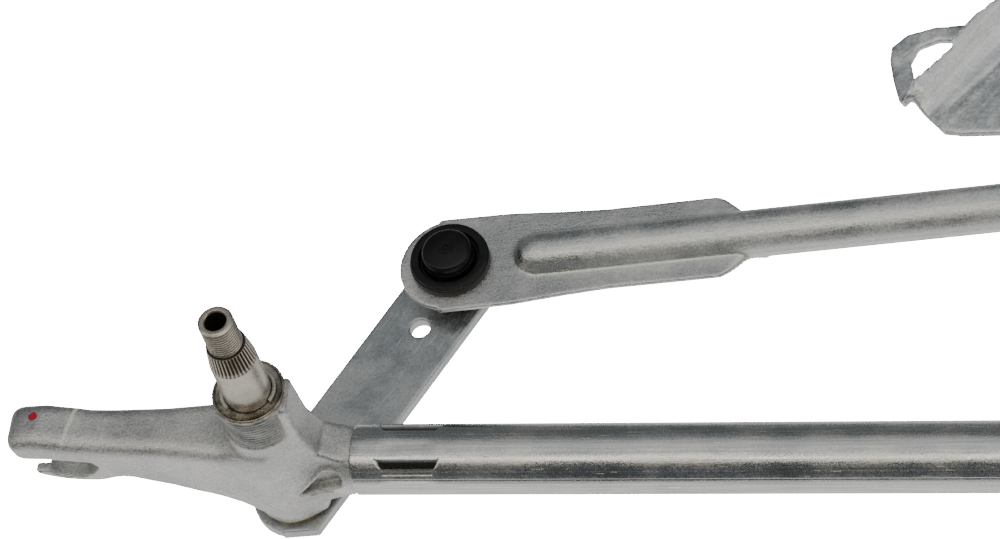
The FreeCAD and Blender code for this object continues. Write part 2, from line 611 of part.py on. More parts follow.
def along_x(label, corners, x):
    """A body of revolution about the worm axis, from (radius, distance along +X) corners."""
    body = new_body(label)
    sketch = new_sketch(body, label + "_profile", "XY")
    polygon(sketch, [(out, radius) for radius, out in corners])
    feature = body.newObject("PartDesign::Revolution", label + "_turn")
    feature.Profile = sketch
    feature.ReferenceAxis = (sketch, ["H_Axis"])
    feature.Angle = 360.0
    place(body, x=x, y=WORM_Y, z=AXIS + " + " + WORM_Z)


along_x("motor_can", [
    ("can_dia / 2 - can_wall", "0"), ("can_dia / 2", "0"), ("can_dia / 2", "can_len - 3"),
    ("can_dia / 2 - 3", "can_len"), ("0", "can_len"), ("0", "can_len - can_wall"),
    ("can_dia / 2 - 3.6", "can_len - can_wall"), ("can_dia / 2 - can_wall", "can_len - 4")], CAN_X)
along_x("magnet_ring", [
    ("can_dia / 2 - can_wall - magnet_thick", "magnet_from"), ("can_dia / 2 - can_wall", "magnet_from"),
    ("can_dia / 2 - can_wall", "magnet_from + core_len"),
    ("can_dia / 2 - can_wall - magnet_thick", "magnet_from + core_len")], CAN_X)
along_x("brush_holder", [
    ("commutator_dia / 2 + brush_gap", "brush_from"), ("can_dia / 2 - can_wall", "brush_from"),
    ("can_dia / 2 - can_wall", "brush_from + brush_thick"),
    ("commutator_dia / 2 + brush_gap", "brush_from + brush_thick")], CAN_X)
along_x("armature_shaft", [
    ("0", "-case_dia + case_wall - 0.6"), ("armature_rod / 2", "-case_dia + case_wall - 0.6"),
    ("armature_rod / 2", "can_len - can_wall - 1"), ("0", "can_len - can_wall - 1")], CAN_X)
along_x("armature_core", [
    ("armature_rod / 2", "magnet_from"), ("core_dia / 2", "magnet_from"),
    ("core_dia / 2", "magnet_from + core_len"),
    ("armature_rod / 2", "magnet_from + core_len")], CAN_X)
along_x("commutator", [
    ("armature_rod / 2", "commutator_from"), ("commutator_dia / 2", "commutator_from"),
    ("commutator_dia / 2", "commutator_from + commutator_len"),
    ("armature_rod / 2", "commutator_from + commutator_len")], CAN_X)
along_x("worm", [
    ("armature_rod / 2", "-case_dia / 2 - flange_long - worm_len / 2"),
    ("worm_dia / 2", "-case_dia / 2 - flange_long - worm_len / 2"),
    ("worm_dia / 2", "-case_dia / 2 - flange_long + worm_len / 2"),
    ("armature_rod / 2", "-case_dia / 2 - flange_long + worm_len / 2")], CAN_X)


def connector():
    """Open moulded plug shroud that lies on the gear lid with its mouth towards -X."""
    body = new_body("connector")
    for name, wall in (("shell", "0"), ("mouth", "plug_wall")):
        face = new_sketch(body, "connector_" + name, "YZ")
        wide = "plug_wide / 2 - " + wall
        tall = "plug_tall / 2 - " + wall
        left = "-plug_wide / 2 + " + wall
        low = "-plug_tall / 2 + " + wall
        polygon(face, [(left, low), (wide, low), (wide, tall), (left, tall)])
        if name == "shell":
            pad(body, face, "plug_long")
        else:
            pocket(body, face, "plug_long - plug_back", back=True)
    place(body, x=CRANK_X + " - plug_long", y=CRANK_Y + " - plug_side",
          z=AXIS + " + " + CASE_TOP + " + lid_thick + plug_tall / 2")


connector()

gear = disc("worm_wheel", "shaft_dia", "gear_dia", "gear_tall")
place(gear, x=CRANK_X, y=CRANK_Y, z=AXIS + " + " + WORM_Z + " - gear_tall / 2")

SHAFT_TOP = AXIS + " + " + WORM_Z + " + gear_tall / 2 + shaft_over"
shaft = turned("output_shaft", [
    ("0", LEVER_TOP + " - lever_thick - nut_tall - shaft_over"),
    ("shaft_thread / 2", LEVER_TOP + " - lever_thick - nut_tall - shaft_over"),
    ("shaft_thread / 2", LEVER_TOP), ("shaft_dia / 2", LEVER_TOP),
    ("shaft_dia / 2", SHAFT_TOP), ("0", SHAFT_TOP)])
place(shaft, x=CRANK_X, y=CRANK_Y)


def hex_nut():
    body = new_body("crank_nut")
    face = new_sketch(body, "nut_face", "XY")
    corner = "nut_flats / 2 / cos(30)"
    polygon(face, [("%s * cos(%d)" % (corner, turn), "%s * sin(%d)" % (corner, turn))
                   for turn in range(0, 360, 60)])
    pad(body, face, "nut_tall")
    bore = new_sketch(body, "nut_bore", "XY", "-cut_over")
    circle(bore, "0", "0", "shaft_thread")
    pocket(body, bore, "nut_tall + 2 * cut_over", back=True)
    place(body, x=CRANK_X, y=CRANK_Y, z=LEVER_TOP + " - lever_thick - nut_tall")


hex_nut()

# ---- recompute, test and write -------------------------------------------------------------

doc.recompute()
faults = [thing.Name for thing in doc.Objects if {"Invalid", "Error"} & set(thing.State)]
for body in nodes:
    shape = body.Shape
    if shape.isNull() or not shape.isValid() or shape.Volume <= 0 or len(shape.Solids) != 1:
        faults.append(body.Label)
if faults:
    raise RuntimeError("failed: " + ", ".join(sorted(set(faults))))

os.makedirs("parts", exist_ok=True)
for body in nodes:
    body.Shape.exportStep("parts/" + body.Label + ".step")
    print("%-22s volume %10.1f  faces %d" % (body.Label, body.Shape.Volume, len(body.Shape.Faces)))
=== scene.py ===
import bpy
import numpy as np
from mathutils import Matrix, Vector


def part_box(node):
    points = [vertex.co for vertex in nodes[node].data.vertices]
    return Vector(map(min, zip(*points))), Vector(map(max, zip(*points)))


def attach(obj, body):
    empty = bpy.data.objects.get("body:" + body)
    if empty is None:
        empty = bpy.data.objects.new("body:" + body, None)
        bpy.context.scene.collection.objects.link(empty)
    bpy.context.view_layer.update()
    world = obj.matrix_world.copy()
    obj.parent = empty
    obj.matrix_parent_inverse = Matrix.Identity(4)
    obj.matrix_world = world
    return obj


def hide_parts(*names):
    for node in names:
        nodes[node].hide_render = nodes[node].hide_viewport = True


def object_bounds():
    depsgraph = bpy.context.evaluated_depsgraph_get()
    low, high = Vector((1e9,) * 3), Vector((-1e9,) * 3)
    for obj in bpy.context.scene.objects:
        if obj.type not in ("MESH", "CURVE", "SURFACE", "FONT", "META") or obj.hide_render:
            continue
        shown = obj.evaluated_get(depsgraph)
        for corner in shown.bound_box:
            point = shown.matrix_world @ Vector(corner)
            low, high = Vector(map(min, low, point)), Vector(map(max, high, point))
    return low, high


# Front windscreen wiper linkage.  Sizes are in millimetres, and a mesh is turned to metres as it
# is made.  +Z runs up the spindles and +X along the cross tube.

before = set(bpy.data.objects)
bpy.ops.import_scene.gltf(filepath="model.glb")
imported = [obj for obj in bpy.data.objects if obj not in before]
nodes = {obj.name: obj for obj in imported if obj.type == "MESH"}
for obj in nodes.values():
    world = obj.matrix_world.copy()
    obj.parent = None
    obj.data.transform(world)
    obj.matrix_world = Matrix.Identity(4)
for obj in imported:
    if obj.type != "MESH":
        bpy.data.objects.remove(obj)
cad_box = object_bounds()


# ---- studio --------------------------------------------------------------------------------
# A white table under a soft overhead light with one long warm strip lamp, in front of which the
# linkage is held clear of the table, so that no shadow falls under it.

METRE = 0.001
STAND_OFF = 1200.0
LOOK_RIGHT, LOOK_UP = 61.923, 53.792
TILT, SWING, ROLL = np.radians((54.477, 23.171, -20.067))
LENS = 152.98
GROUND_WHITE = 30.0
TABLE_HALF, TABLE_DROP, TABLE_GLOW = 0.45, 0.16, 0.54
OVERHEAD_LEAN, STRIP_LEAN = -2.0, 30.0
DIM_FRONT, DIM_BEHIND = (0.08, 0.088, 0.095, 1), (0.15, 0.16, 0.165, 1)
OVERHEAD, STRIP, BELOW = (0.88, 0.89, 0.88, 1), (3.6, 3.35, 2.85, 1), (1.25, 1.26, 1.28, 1)
TUBE_LOW, TUBE_HIGH = (np.array(corner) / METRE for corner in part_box("cross_tube"))
AXIS = (TUBE_LOW[2] + TUBE_HIGH[2]) / 2

back = np.array([np.sin(SWING) * np.cos(TILT), -np.cos(SWING) * np.cos(TILT), np.sin(TILT)])
level = np.array([np.cos(SWING), np.sin(SWING), 0.0])
upright = np.cross(back, level)
right = np.cos(ROLL) * level + np.sin(ROLL) * upright
up = np.cos(ROLL) * upright - np.sin(ROLL) * level
eye = np.array([0, 0, AXIS]) + LOOK_RIGHT * right + LOOK_UP * up + STAND_OFF * back

camera = bpy.data.objects.new("camera", bpy.data.cameras.new("camera"))
camera.data.lens = LENS
camera.data.sensor_width = 36.0
camera.data.clip_end = 20.0
turn = np.eye(4)
turn[:3, 0], turn[:3, 1], turn[:3, 2], turn[:3, 3] = right, up, back, eye * METRE
camera.matrix_world = Matrix(turn.tolist())
bpy.context.scene.collection.objects.link(camera)
bpy.context.scene.camera = camera


def node(tree, kind, inputs=None, **settings):
    """A shader node: each input is set, or linked where it is another node's output."""
    made = tree.nodes.new(kind)
    for key, value in settings.items():
        setattr(made, key, value)
    for key, value in (inputs or {}).items():
        if isinstance(value, bpy.types.NodeSocket):
            tree.links.new(value, made.inputs[key])
        else:
            made.inputs[key].default_value = value
    return made


def maths(tree, operation, first, second=0.0, third=0.0, clamp=False):
    """The output of one Math node."""
    values = {0: first, 1: second, 2: third}
    return node(tree, "ShaderNodeMath", values, operation=operation, use_clamp=clamp).outputs[0]


def ramp(tree, value, low, high, start=0.0, end=1.0, smooth=True):
    """Value carried from low..high to start..end, eased at both ends."""
    kind = "SMOOTHSTEP" if smooth else "LINEAR"
    inputs = {"Value": value, "From Min": low, "From Max": high, "To Min": start, "To Max": end}
    return node(tree, "ShaderNodeMapRange", inputs, interpolation_type=kind).outputs["Result"]


def mixed(tree, share, first, second, blend="MIX"):
    """The colour output of one Mix node; its colour sockets are numbered 6 and 7."""
    values = {0: share, 6: first, 7: second}
    return node(tree, "ShaderNodeMix", values, data_type="RGBA", blend_type=blend).outputs[2]


def within(tree, value, middle, near, far):
    """One within near of the middle, falling to nought by far."""
    off = maths(tree, "ABSOLUTE", maths(tree, "SUBTRACT", value, middle))
    return ramp(tree, off, near, far, 1.0, 0.0)


def sky_light():
    """World light by its lean from upright towards -Y, in degrees: dim in front, less so behind,
    a soft overhead patch that fades to the left, a warm strip along X, and white below."""
    world = bpy.data.worlds.new("studio")
    world.use_nodes = True
    tree = world.node_tree
    tree.nodes.clear()
    direction = node(tree, "ShaderNodeTexCoord").outputs["Generated"]
    part = node(tree, "ShaderNodeSeparateXYZ", {0: direction})
    lean = maths(tree, "ARCTAN2", maths(tree, "MULTIPLY", part.outputs["Y"], -1.0),
                 part.outputs["Z"])
    lean = maths(tree, "DEGREES", lean)
    overhead = within(tree, lean, OVERHEAD_LEAN, 10.0, 47.0)
    overhead = maths(tree, "MULTIPLY", overhead, ramp(tree, part.outputs["X"], -0.75, 0.05, 0.35))
    strip = within(tree, lean, STRIP_LEAN, 1.5, 8.5)
    below = ramp(tree, part.outputs["Z"], -0.14, -0.58)
    light = mixed(tree, ramp(tree, lean, -38.0, -47.0), DIM_FRONT, DIM_BEHIND)
    for share, colour in ((overhead, OVERHEAD), (strip, STRIP), (below, BELOW)):
        light = mixed(tree, share, light, colour)
    ray = node(tree, "ShaderNodeLightPath").outputs["Is Camera Ray"]
    light = mixed(tree, ray, light, (GROUND_WHITE, GROUND_WHITE, GROUND_WHITE, 1))
    shade = node(tree, "ShaderNodeBackground", {"Color": light, "Strength": 1.0})
    node(tree, "ShaderNodeOutputWorld", {"Surface": shade.outputs[0]})
    bpy.context.scene.world = world


def new_material(name):
    """A material, its tree and its Principled shader."""
    material = bpy.data.materials.new(name)
    material.use_nodes = True
    return material, material.node_tree, material.node_tree.nodes["Principled BSDF"]


def table():
    """A wide white sheet below the object, bright enough to leave a plain white ground."""
    ground = cad_box[0][2] - TABLE_DROP
    mesh = bpy.data.meshes.new("table")
    corners = [(x * TABLE_HALF, y * TABLE_HALF, ground)
               for x, y in ((-1, -1), (1, -1), (1, 1), (-1, 1))]
    mesh.from_pydata(corners, [], [(0, 1, 2, 3)])
    sheet = bpy.data.objects.new("table", mesh)
    bpy.context.scene.collection.objects.link(sheet)
    material, tree, shader = new_material("white_table")
    shader.inputs["Base Color"].default_value = (0.85, 0.85, 0.85, 1)
    shader.inputs["Roughness"].default_value = 0.9
    shader.inputs["Emission Color"].default_value = (1, 1, 1, 1)
    ray = node(tree, "ShaderNodeLightPath").outputs["Is Camera Ray"]
    glow = ramp(tree, ray, 0.0, 1.0, TABLE_GLOW, GROUND_WHITE)
    tree.links.new(glow, shader.inputs["Emission Strength"])
    mesh.materials.append(material)


sky_light()
table()


# ---- pivot housings ------------------------------------------------------------------------
# Die cast aluminium.  An upright barrel carries the spindle; a neck and spigot go into the cross
# tube; an arm runs out to an open fork that clips over a rubber grommet on the car's body.

BARREL, CORE, BAND, BORE = 10.7, 10.0, 10.45, 8.5
BARREL_FOOT, BAND_FOOT, BARREL_TOP = -17.4, 24.0, 36.0
NECK, NECK_END, SPIGOT, SPIGOT_END = 9.2, 22.7, 8.5, 56.7
FORK_X, FORK_Z, FORK_BORE, FORK_FRONT, FORK_STEP, FORK_BACK = -62.4, 2.6, 9.0, -1.6, 1.6, 5.4
ARM_EDGE, ARM_CORNER, NECK_FILLET, WEB_EDGE, WEB_HALF = 4.8, 4.0, 4.5, 2.4, 6.0
ARM_WIDE = ((-75, 7.3), (-50, 7.3), (-30, 8.0), (-8, 10.2))
ARM_TOP = ((-75, 21.0), (-66, 21.8), (-57.2, 20.0), (-54, 19.2), (-46, 18.6), (-20, 18.2),
           (-10.7, 18))
ARM_LOW = ((-75, 12.6), (-64, 12.1), (-52, 10.3), (-47.5, 3.2), (-41, 2.6), (-34, 0.1),
           (-24, -3.2), (-17.6, -4.9), (-10, -8.5), (0, -12))
ARM_END = ((12.6, -74.3), (19, -75.6))
WEB_OUT = ((-17, 10.5), (-13, 12), (-9.2, 21), (9.2, 21), (12.5, 15), (20, 12.0), (35.6, 10.9))
FORK_STEM = [(-65.5, -7.7), (-62.4, -8.2), (-59, -8.5), (-56.2, -8.6), (-53.5, -8.1),
             (-50.9, -7.1), (-47, -6.4), (-40.4, 0), (-36.4, 3), (-45.4, 12.3), (-56.8, 12.3),
             (-56.8, -3)]
FORK_TIP = [(-73.7, -3), (-73.4, -4.4), (-71.2, -5.7), (-68.2, -6.9)]
SHELF_TIP = [(-69.8, -3), (-69.8, -6.3), (-68.2, -6.9)]
MARK, CREASE, CREASE_HIGH, CREASE_LEAN = (-67.6, 1.8, AXIS + 21.2), -57.2, AXIS + 18.2, 0.21


def least(first, second, blend=0.01):
    """Smooth union of two distances: the lesser, lowered by a parabola where they differ by less
    than blend, which leaves a fillet of about that radius."""
    near = np.maximum(blend - np.abs(first - second), 0.0) / blend
    return np.minimum(first, second) - near * near * blend / 4


def both(first, second, blend=0.01):
    """Smooth common part of two distances, which rounds the edge where they meet."""
    return -least(-first, -second, blend)


def without(body, tool, blend=0.01):
    """The first shape with the second cut out of it."""
    return both(body, -tool, blend)


def span(value, low, high):
    """Distance to the slab where the value lies from low to high."""
    return np.maximum(low - value, value - high)


def read(table, place):
    """Size at a place, from a table of (place, size) pairs with straight lines between them."""
    return np.interp(place, *zip(*table))


def groove(x, y, start, run):
    """How far along a line from start over run a point lies, 0 to 1, and how far off the line."""
    share = ((x - start[0]) * run[0] + (y - start[1]) * run[1]) / (run[0]**2 + run[1]**2)
    share = np.clip(share, 0, 1)
    return share, np.hypot(x - start[0] - share * run[0], y - start[1] - share * run[1])


def outline(corners, x, y):
    """Distance to a closed outline: the nearest of its straight sides, negative inside, where a
    ray along +X crosses the sides an odd number of times."""
    spots = np.array(corners, float)
    distance = np.full(np.broadcast(x, y).shape, 1e9)
    odd = np.zeros(distance.shape, bool)
    for (ax, ay), (bx, by) in zip(spots, np.roll(spots, -1, 0)):
        run_x, run_y = bx - ax, by - ay
        distance = np.minimum(distance, groove(x, y, (ax, ay), (run_x, run_y))[1])
        crosses = (ay > y) != (by > y)
        odd ^= crosses & (x < ax + (y - ay) * run_x / (run_y if run_y else 1e-9))
    return np.where(odd, -distance, distance)


def net(field, low, high, step):
    """Closed surface where field(x, y, z) is zero.  Space is cut into cells of the given step.
    Each cell that the surface passes through gets one point, the mean of the places where the
    surface crosses the cell's edges, and each crossed edge gets a face between its four cells."""
    low, step = np.array(low, float), np.array(step, float) * np.ones(3)
    count = np.ceil((np.array(high) - low) / step).astype(int) + 1
    lines = [low[i] + step[i] * np.arange(count[i]) for i in range(3)]
    value = field(*np.meshgrid(*lines, indexing="ij", sparse=True))
    value = np.broadcast_to(value, count)
    inside = value < 0
    cells, spots, faces = [], [], []
    for axis in range(3):
        near = [slice(None)] * 3
        far = [slice(None)] * 3
        near[axis], far[axis] = slice(None, -1), slice(1, None)
        near, far = tuple(near), tuple(far)
        where = np.argwhere(inside[near] != inside[far])
        start = value[near][tuple(where.T)]
        end = value[far][tuple(where.T)]
        spot = where.astype(float)
        spot[:, axis] += start / (start - end)
        around = []
        for step_u, step_v in ((0, 0), (-1, 0), (-1, -1), (0, -1)):
            cell = where.copy()
            cell[:, (axis + 1) % 3] += step_u
            cell[:, (axis + 2) % 3] += step_v
            around.append(np.ravel_multi_index(tuple(cell.T), tuple(count)))
        around = np.stack(around, 1)
        cells.append(around.ravel())
        spots.append(np.repeat(spot, 4, 0))
        faces.append(np.where((start < 0)[:, None], around, around[:, ::-1]))
    used, which = np.unique(np.concatenate(cells), return_inverse=True)
    spots = np.concatenate(spots)
    total = np.bincount(which)
    points = np.stack([np.bincount(which, spots[:, i]) / total for i in range(3)], 1)
    return points * step + low, np.searchsorted(used, np.concatenate(faces)), None


def placed(shell, x=0.0, y=0.0, z=0.0, angle=0.0, flip=False):
    """A shell turned over about its own X if flipped, then turned about Z by angle and moved."""
    points, quads, fans = shell
    moved = points * ((1, -1, -1) if flip else (1, 1, 1))
    c, s = np.cos(np.radians(angle)), np.sin(np.radians(angle))
    moved = moved @ np.array([[c, s, 0], [-s, c, 0], [0, 0, 1]]) + (x, y, z)
    return moved, quads, fans


def piece(name, shells, material, crease=40.0):
    """One object from one or more closed shells of (points in millimetres, quads, triangles)."""
    points, faces, first = [], [], 0
    for spots, quads, fans in shells:
        points.append(spots)
        faces += (quads + first).tolist()
        faces += [] if fans is None else (fans + first).tolist()
        first += len(spots)
    mesh = bpy.data.meshes.new(name)
    mesh.from_pydata((np.concatenate(points) * METRE).tolist(), [], faces)
    mesh.polygons.foreach_set("use_smooth", np.ones(len(faces), bool))
    mesh.set_sharp_from_angle(angle=np.radians(crease))
    mesh.materials.append(material)
    made = bpy.data.objects.new(name, mesh)
    bpy.context.scene.collection.objects.link(made)
    return made


def new_group(name, inputs, outputs):
    """An empty shader group with named number, vector or colour sockets."""
    group = bpy.data.node_groups.new(name, "ShaderNodeTree")
    for label, kind, value in inputs:
        socket = group.interface.new_socket(label, in_out="INPUT", socket_type=kind)
        socket.default_value = value
    for label, kind in outputs:
        group.interface.new_socket(label, in_out="OUTPUT", socket_type=kind)
    return group, node(group, "NodeGroupInput"), node(group, "NodeGroupOutput")


def metal_skin():
    """Group: how a metal surface varies.  Patches are broad clouds, Grain is fine speckle, Lines
    run along the stretched direction, Scratches are short thin marks in two directions."""
    number, vector = "NodeSocketFloat", "NodeSocketVector"
    group, given, result = new_group(
        "metal_skin",
        [("Patch Scale", number, 90.0), ("Grain Scale", number, 2500.0),
         ("Line Scale", number, 900.0), ("Turn", vector, (0, 0, 0)),
         ("Scratch Amount", number, 0.3)],
        [("Patches", number), ("Grain", number), ("Lines", number), ("Scratches", number)])
    place = node(group, "ShaderNodeTexCoord").outputs["Object"]
    turned = node(group, "ShaderNodeMapping", {0: place, "Rotation": given.outputs["Turn"]})
    turned = turned.outputs[0]
    patches = node(group, "ShaderNodeTexNoise", {
        "Vector": place, "Scale": given.outputs["Patch Scale"], "Detail": 4.0, "Roughness": 0.6})
    grain = node(group, "ShaderNodeTexNoise", {
        "Vector": place, "Scale": given.outputs["Grain Scale"], "Detail": 2.0, "Roughness": 0.7})
    long = node(group, "ShaderNodeMapping", {0: turned, "Scale": (0.02, 1, 1)}).outputs[0]
    lines = node(group, "ShaderNodeTexNoise", {
        "Vector": long, "Scale": given.outputs["Line Scale"], "Detail": 3.0, "Roughness": 0.7})
    marks = []
    for lean in (0.5, 2.2):
        slant = node(group, "ShaderNodeMapping", {
            0: turned, "Rotation": (0.3, 0.2, lean), "Scale": (0.05, 1, 0.4)}).outputs[0]
        mark = node(group, "ShaderNodeTexNoise", {"Vector": slant, "Scale": 2300.0, "Detail": 1.0})
        edge = maths(group, "MULTIPLY_ADD", given.outputs["Scratch Amount"], -0.12, 0.76)
        above = maths(group, "SUBTRACT", mark.outputs[0], edge)
        marks.append(ramp(group, above, 0.0, 0.035))
    scratches = maths(group, "MAXIMUM", *marks)
    for label, value in (("Patches", ramp(group, patches.outputs[0], 0.34, 0.66)),
                         ("Grain", ramp(group, grain.outputs[0], 0.25, 0.75)),
                         ("Lines", ramp(group, lines.outputs[0], 0.3, 0.7)),
                         ("Scratches", scratches)):
        group.links.new(value, result.inputs[label])
    return group


METAL_SKIN = metal_skin()


def metal(name, deep, pale, rough, patch=90.0, grain=2500.0, line=900.0, turn=0.0, grit=0.3,
          drawn=0.0, scratch=0.3, relief=0.03, metallic=1.0, mottle=0.12):
    """A metal finish: deep and pale colours in patches, dimmed by speckle and drawn lines,
    brightened by scratches, rougher where it is pale, with a small relief in millimetres."""
    material, tree, shader = new_material(name)
    finish_group = node(tree, "ShaderNodeGroup", node_tree=METAL_SKIN)
    for key, value in (("Patch Scale", patch), ("Grain Scale", grain), ("Line Scale", line),
                       ("Turn", (0, 0, np.radians(turn))), ("Scratch Amount", scratch)):
        finish_group.inputs[key].default_value = value
    patches, speckle, lines, marks = (finish_group.outputs[i] for i in range(4))
    tone = mixed(tree, patches, (*deep, 1), (*pale, 1))
    dim = maths(tree, "MULTIPLY_ADD", speckle, grit, 1.0 - grit * 0.6)
    dim = maths(tree, "MULTIPLY", dim, maths(tree, "MULTIPLY_ADD", lines, drawn, 1 - drawn * 0.5))
    dim = node(tree, "ShaderNodeCombineColor", {0: dim, 1: dim, 2: dim}).outputs[0]
    tone = mixed(tree, 1.0, tone, dim, "MULTIPLY")
    tone = mixed(tree, maths(tree, "MULTIPLY", marks, 0.4), tone, (0.95, 0.95, 0.9, 1))
    roughness = maths(tree, "MULTIPLY_ADD", patches, mottle, rough - mottle / 2)
    roughness = maths(tree, "MULTIPLY_ADD", speckle, mottle, roughness, clamp=True)
    height = maths(tree, "MULTIPLY_ADD", lines, drawn, speckle)
    height = maths(tree, "MULTIPLY_ADD", marks, -1.5, height)
    bump = node(tree, "ShaderNodeBump", {"Height": height, "Distance": relief * METRE,
                                         "Strength": 1.0})
    shader.inputs["Metallic"].default_value = metallic
    for key, value in (("Base Color", tone), ("Roughness", roughness),
                       ("Normal", bump.outputs[0])):
        tree.links.new(value, shader.inputs[key])
    return material


def cast_housing(x, y, z):
    """The casting: rounded prism arm, two-step fork, barrel, neck, spigot and web, joined with
    fillets, less the shaft bore, the fork's round seat, and a teardrop and a sliver on the neck."""
    about, along = np.hypot(x, y), np.hypot(y, z)
    sides = both(np.abs(y) - read(ARM_WIDE, x), read(ARM_END, z) - x, ARM_CORNER)
    arm = both(sides, z - read(ARM_TOP, x - 0.2 * y), ARM_EDGE)
    arm = both(arm, both(read(ARM_LOW, x) - z, x, 0.1), 1.6)

    hook = both(outline(FORK_TIP + FORK_STEM, x, z), span(y, FORK_FRONT, FORK_STEP), 0.7)
    shelf = both(outline(SHELF_TIP + FORK_STEM, x, z), span(y, FORK_FRONT + 1, FORK_BACK), 0.7)
    fork = np.minimum(hook, shelf)
    barrel = both(about - BARREL, np.abs(z - (BAND_FOOT + BARREL_FOOT) / 2)
                  - (BAND_FOOT - BARREL_FOOT) / 2, 1.0)
    core = both(about - CORE, span(z, BAND_FOOT - 2, BARREL_TOP), 0.3)
    neck = both(along - NECK, span(x, 0, NECK_END), 0.4)
    spigot = both(along - SPIGOT, span(x, 0, SPIGOT_END), 0.8)
    web = np.maximum(span(x, 0, read(WEB_OUT, z)), np.abs(z - 9.2) - 26.3)
    web = both(web, np.abs(y) - WEB_HALF, WEB_EDGE)

    solid = least(least(arm, fork, 1.2), barrel, read(((18, 5.0), (23.5, 0.2)), z))
    solid = least(solid, neck, NECK_FILLET)
    solid = least(solid, least(web, core, 0.2), read(((16, 3.5), (23.5, 0.2)), z))
    solid = least(solid, spigot)

    share, off = groove(x, z, (7, -2.5), (9.5, 5.7))
    drop = off - (0.6 + 2.6 * share)
    front = np.where(y < 0, 1.0, 0.0)
    rim = 0.45 * np.exp(-((drop - 0.7) / 0.6) ** 2)
    parting_line = 0.16 * np.exp(-((x + 0.6) / 0.5) ** 2) * (z < 14)
    solid = solid - (rim + parting_line) * front
    solid = without(solid, np.maximum(drop, y + 6.2), 0.5)
    sliver = groove(x, z, (9, -5.4), (6.2, 2.6))[1] - 0.75
    solid = without(solid, np.maximum(sliver, y + 6.6), 0.4)

    seat = np.maximum(np.hypot(x - FORK_X, z - FORK_Z) - FORK_BORE, np.abs(y) - 6.5)
    solid = without(solid, seat, 0.4)
    return without(np.maximum(solid, BARREL_FOOT - z), about - BORE, 0.3)


def object_place(tree):
    """Object coordinates, whole and as named parts."""
    place = node(tree, "ShaderNodeTexCoord").outputs["Object"]
    return place, node(tree, "ShaderNodeSeparateXYZ", {0: place}).outputs


def overlaid(material, mask, colour, rougher):
    """Lay a colour over the finish where the mask is 1, and roughen it there."""
    tree = material.node_tree
    shader = tree.nodes["Principled BSDF"]
    tone = shader.inputs["Base Color"].links[0].from_socket
    rough = shader.inputs["Roughness"].links[0].from_socket
    tree.links.new(mixed(tree, mask, tone, (*colour, 1)), shader.inputs["Base Color"])
    tree.links.new(maths(tree, "MULTIPLY_ADD", mask, rougher, rough), shader.inputs["Roughness"])


def red_check_mark(material):
    """A small dab of red marker on the left arm's end, about a place, with a ragged edge."""
    tree = material.node_tree
    place = node(tree, "ShaderNodeTexCoord").outputs["Object"]
    spot = node(tree, "ShaderNodeMapping", {0: place}, vector_type="POINT")
    spot.inputs["Location"].default_value = [-METRE * size for size in MARK]
    wobble = node(tree, "ShaderNodeTexNoise", {"Vector": place, "Scale": 500.0}).outputs[0]
    reach = node(tree, "ShaderNodeVectorMath", {0: spot.outputs[0]}, operation="LENGTH")
    reach = maths(tree, "MULTIPLY_ADD", wobble, 0.0012, reach.outputs["Value"])
    mask = ramp(tree, reach, 0.0022, 0.0019)
    overlaid(material, mask, (0.42, 0.008, 0.03), 0.0)
    bare = maths(tree, "SUBTRACT", 1.0, mask, clamp=True)
    tree.links.new(bare, tree.nodes["Principled BSDF"].inputs["Metallic"])


def crease_highlight(material):
    """A painted highlight: a pale line across the left arm's top, where its end rises from the
    waist.
    """
    tree = material.node_tree
    place, part = object_place(tree)
    line = maths(tree, "MULTIPLY_ADD", part["Y"], -CREASE_LEAN, part["X"])
    on_top = ramp(tree, part["Z"], CREASE_HIGH * METRE, (CREASE_HIGH + 1) * METRE)
    mask = maths(tree, "MULTIPLY", within(tree, line, CREASE * METRE, 0.0001, 0.0009), on_top)
    patchy = node(tree, "ShaderNodeTexNoise", {"Vector": place, "Scale": 900.0}).outputs[0]
    mask = maths(tree, "MULTIPLY", mask, ramp(tree, patchy, 0.25, 0.6, 0.5))
    overlaid(material, mask, (0.97, 0.96, 0.92), 0.4)


cast_aluminium = metal("cast_aluminium", (0.54, 0.545, 0.54), (0.72, 0.72, 0.70), 0.40,
                       patch=70, grain=1700, grit=0.4, scratch=0.15, relief=0.09, mottle=0.1)
# Painted highlight along the crease on the left arm's top.
crease_highlight(cast_aluminium)
red_check_mark(cast_aluminium)
casting = net(cast_housing, (-77, -13, -19), (58.5, 13, 38), 0.5)


def centre(name):
    """Middle of a node's box, in millimetres."""
    low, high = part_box(name)
    return (np.array(low) + np.array(high)) / 2 / METRE


PIVOTS = {side: centre(side + "_spindle") for side in ("left", "right")}
HALF_TURN = {"left": 0.0, "right": 180.0}

for side, pivot in PIVOTS.items():
    housing = piece(side + "_cast_housing", [placed(casting, pivot[0], 0, AXIS, HALF_TURN[side])],
                    cast_aluminium, 60)
    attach(housing, "frame")
    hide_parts(side + "_pivot_housing")


# ---- knurled bands -------------------------------------------------------------------------
# The top of each barrel is turned down and left with fine rings, so that the rubber cowl seal
# grips it.  It is the same casting, cut on a lathe.

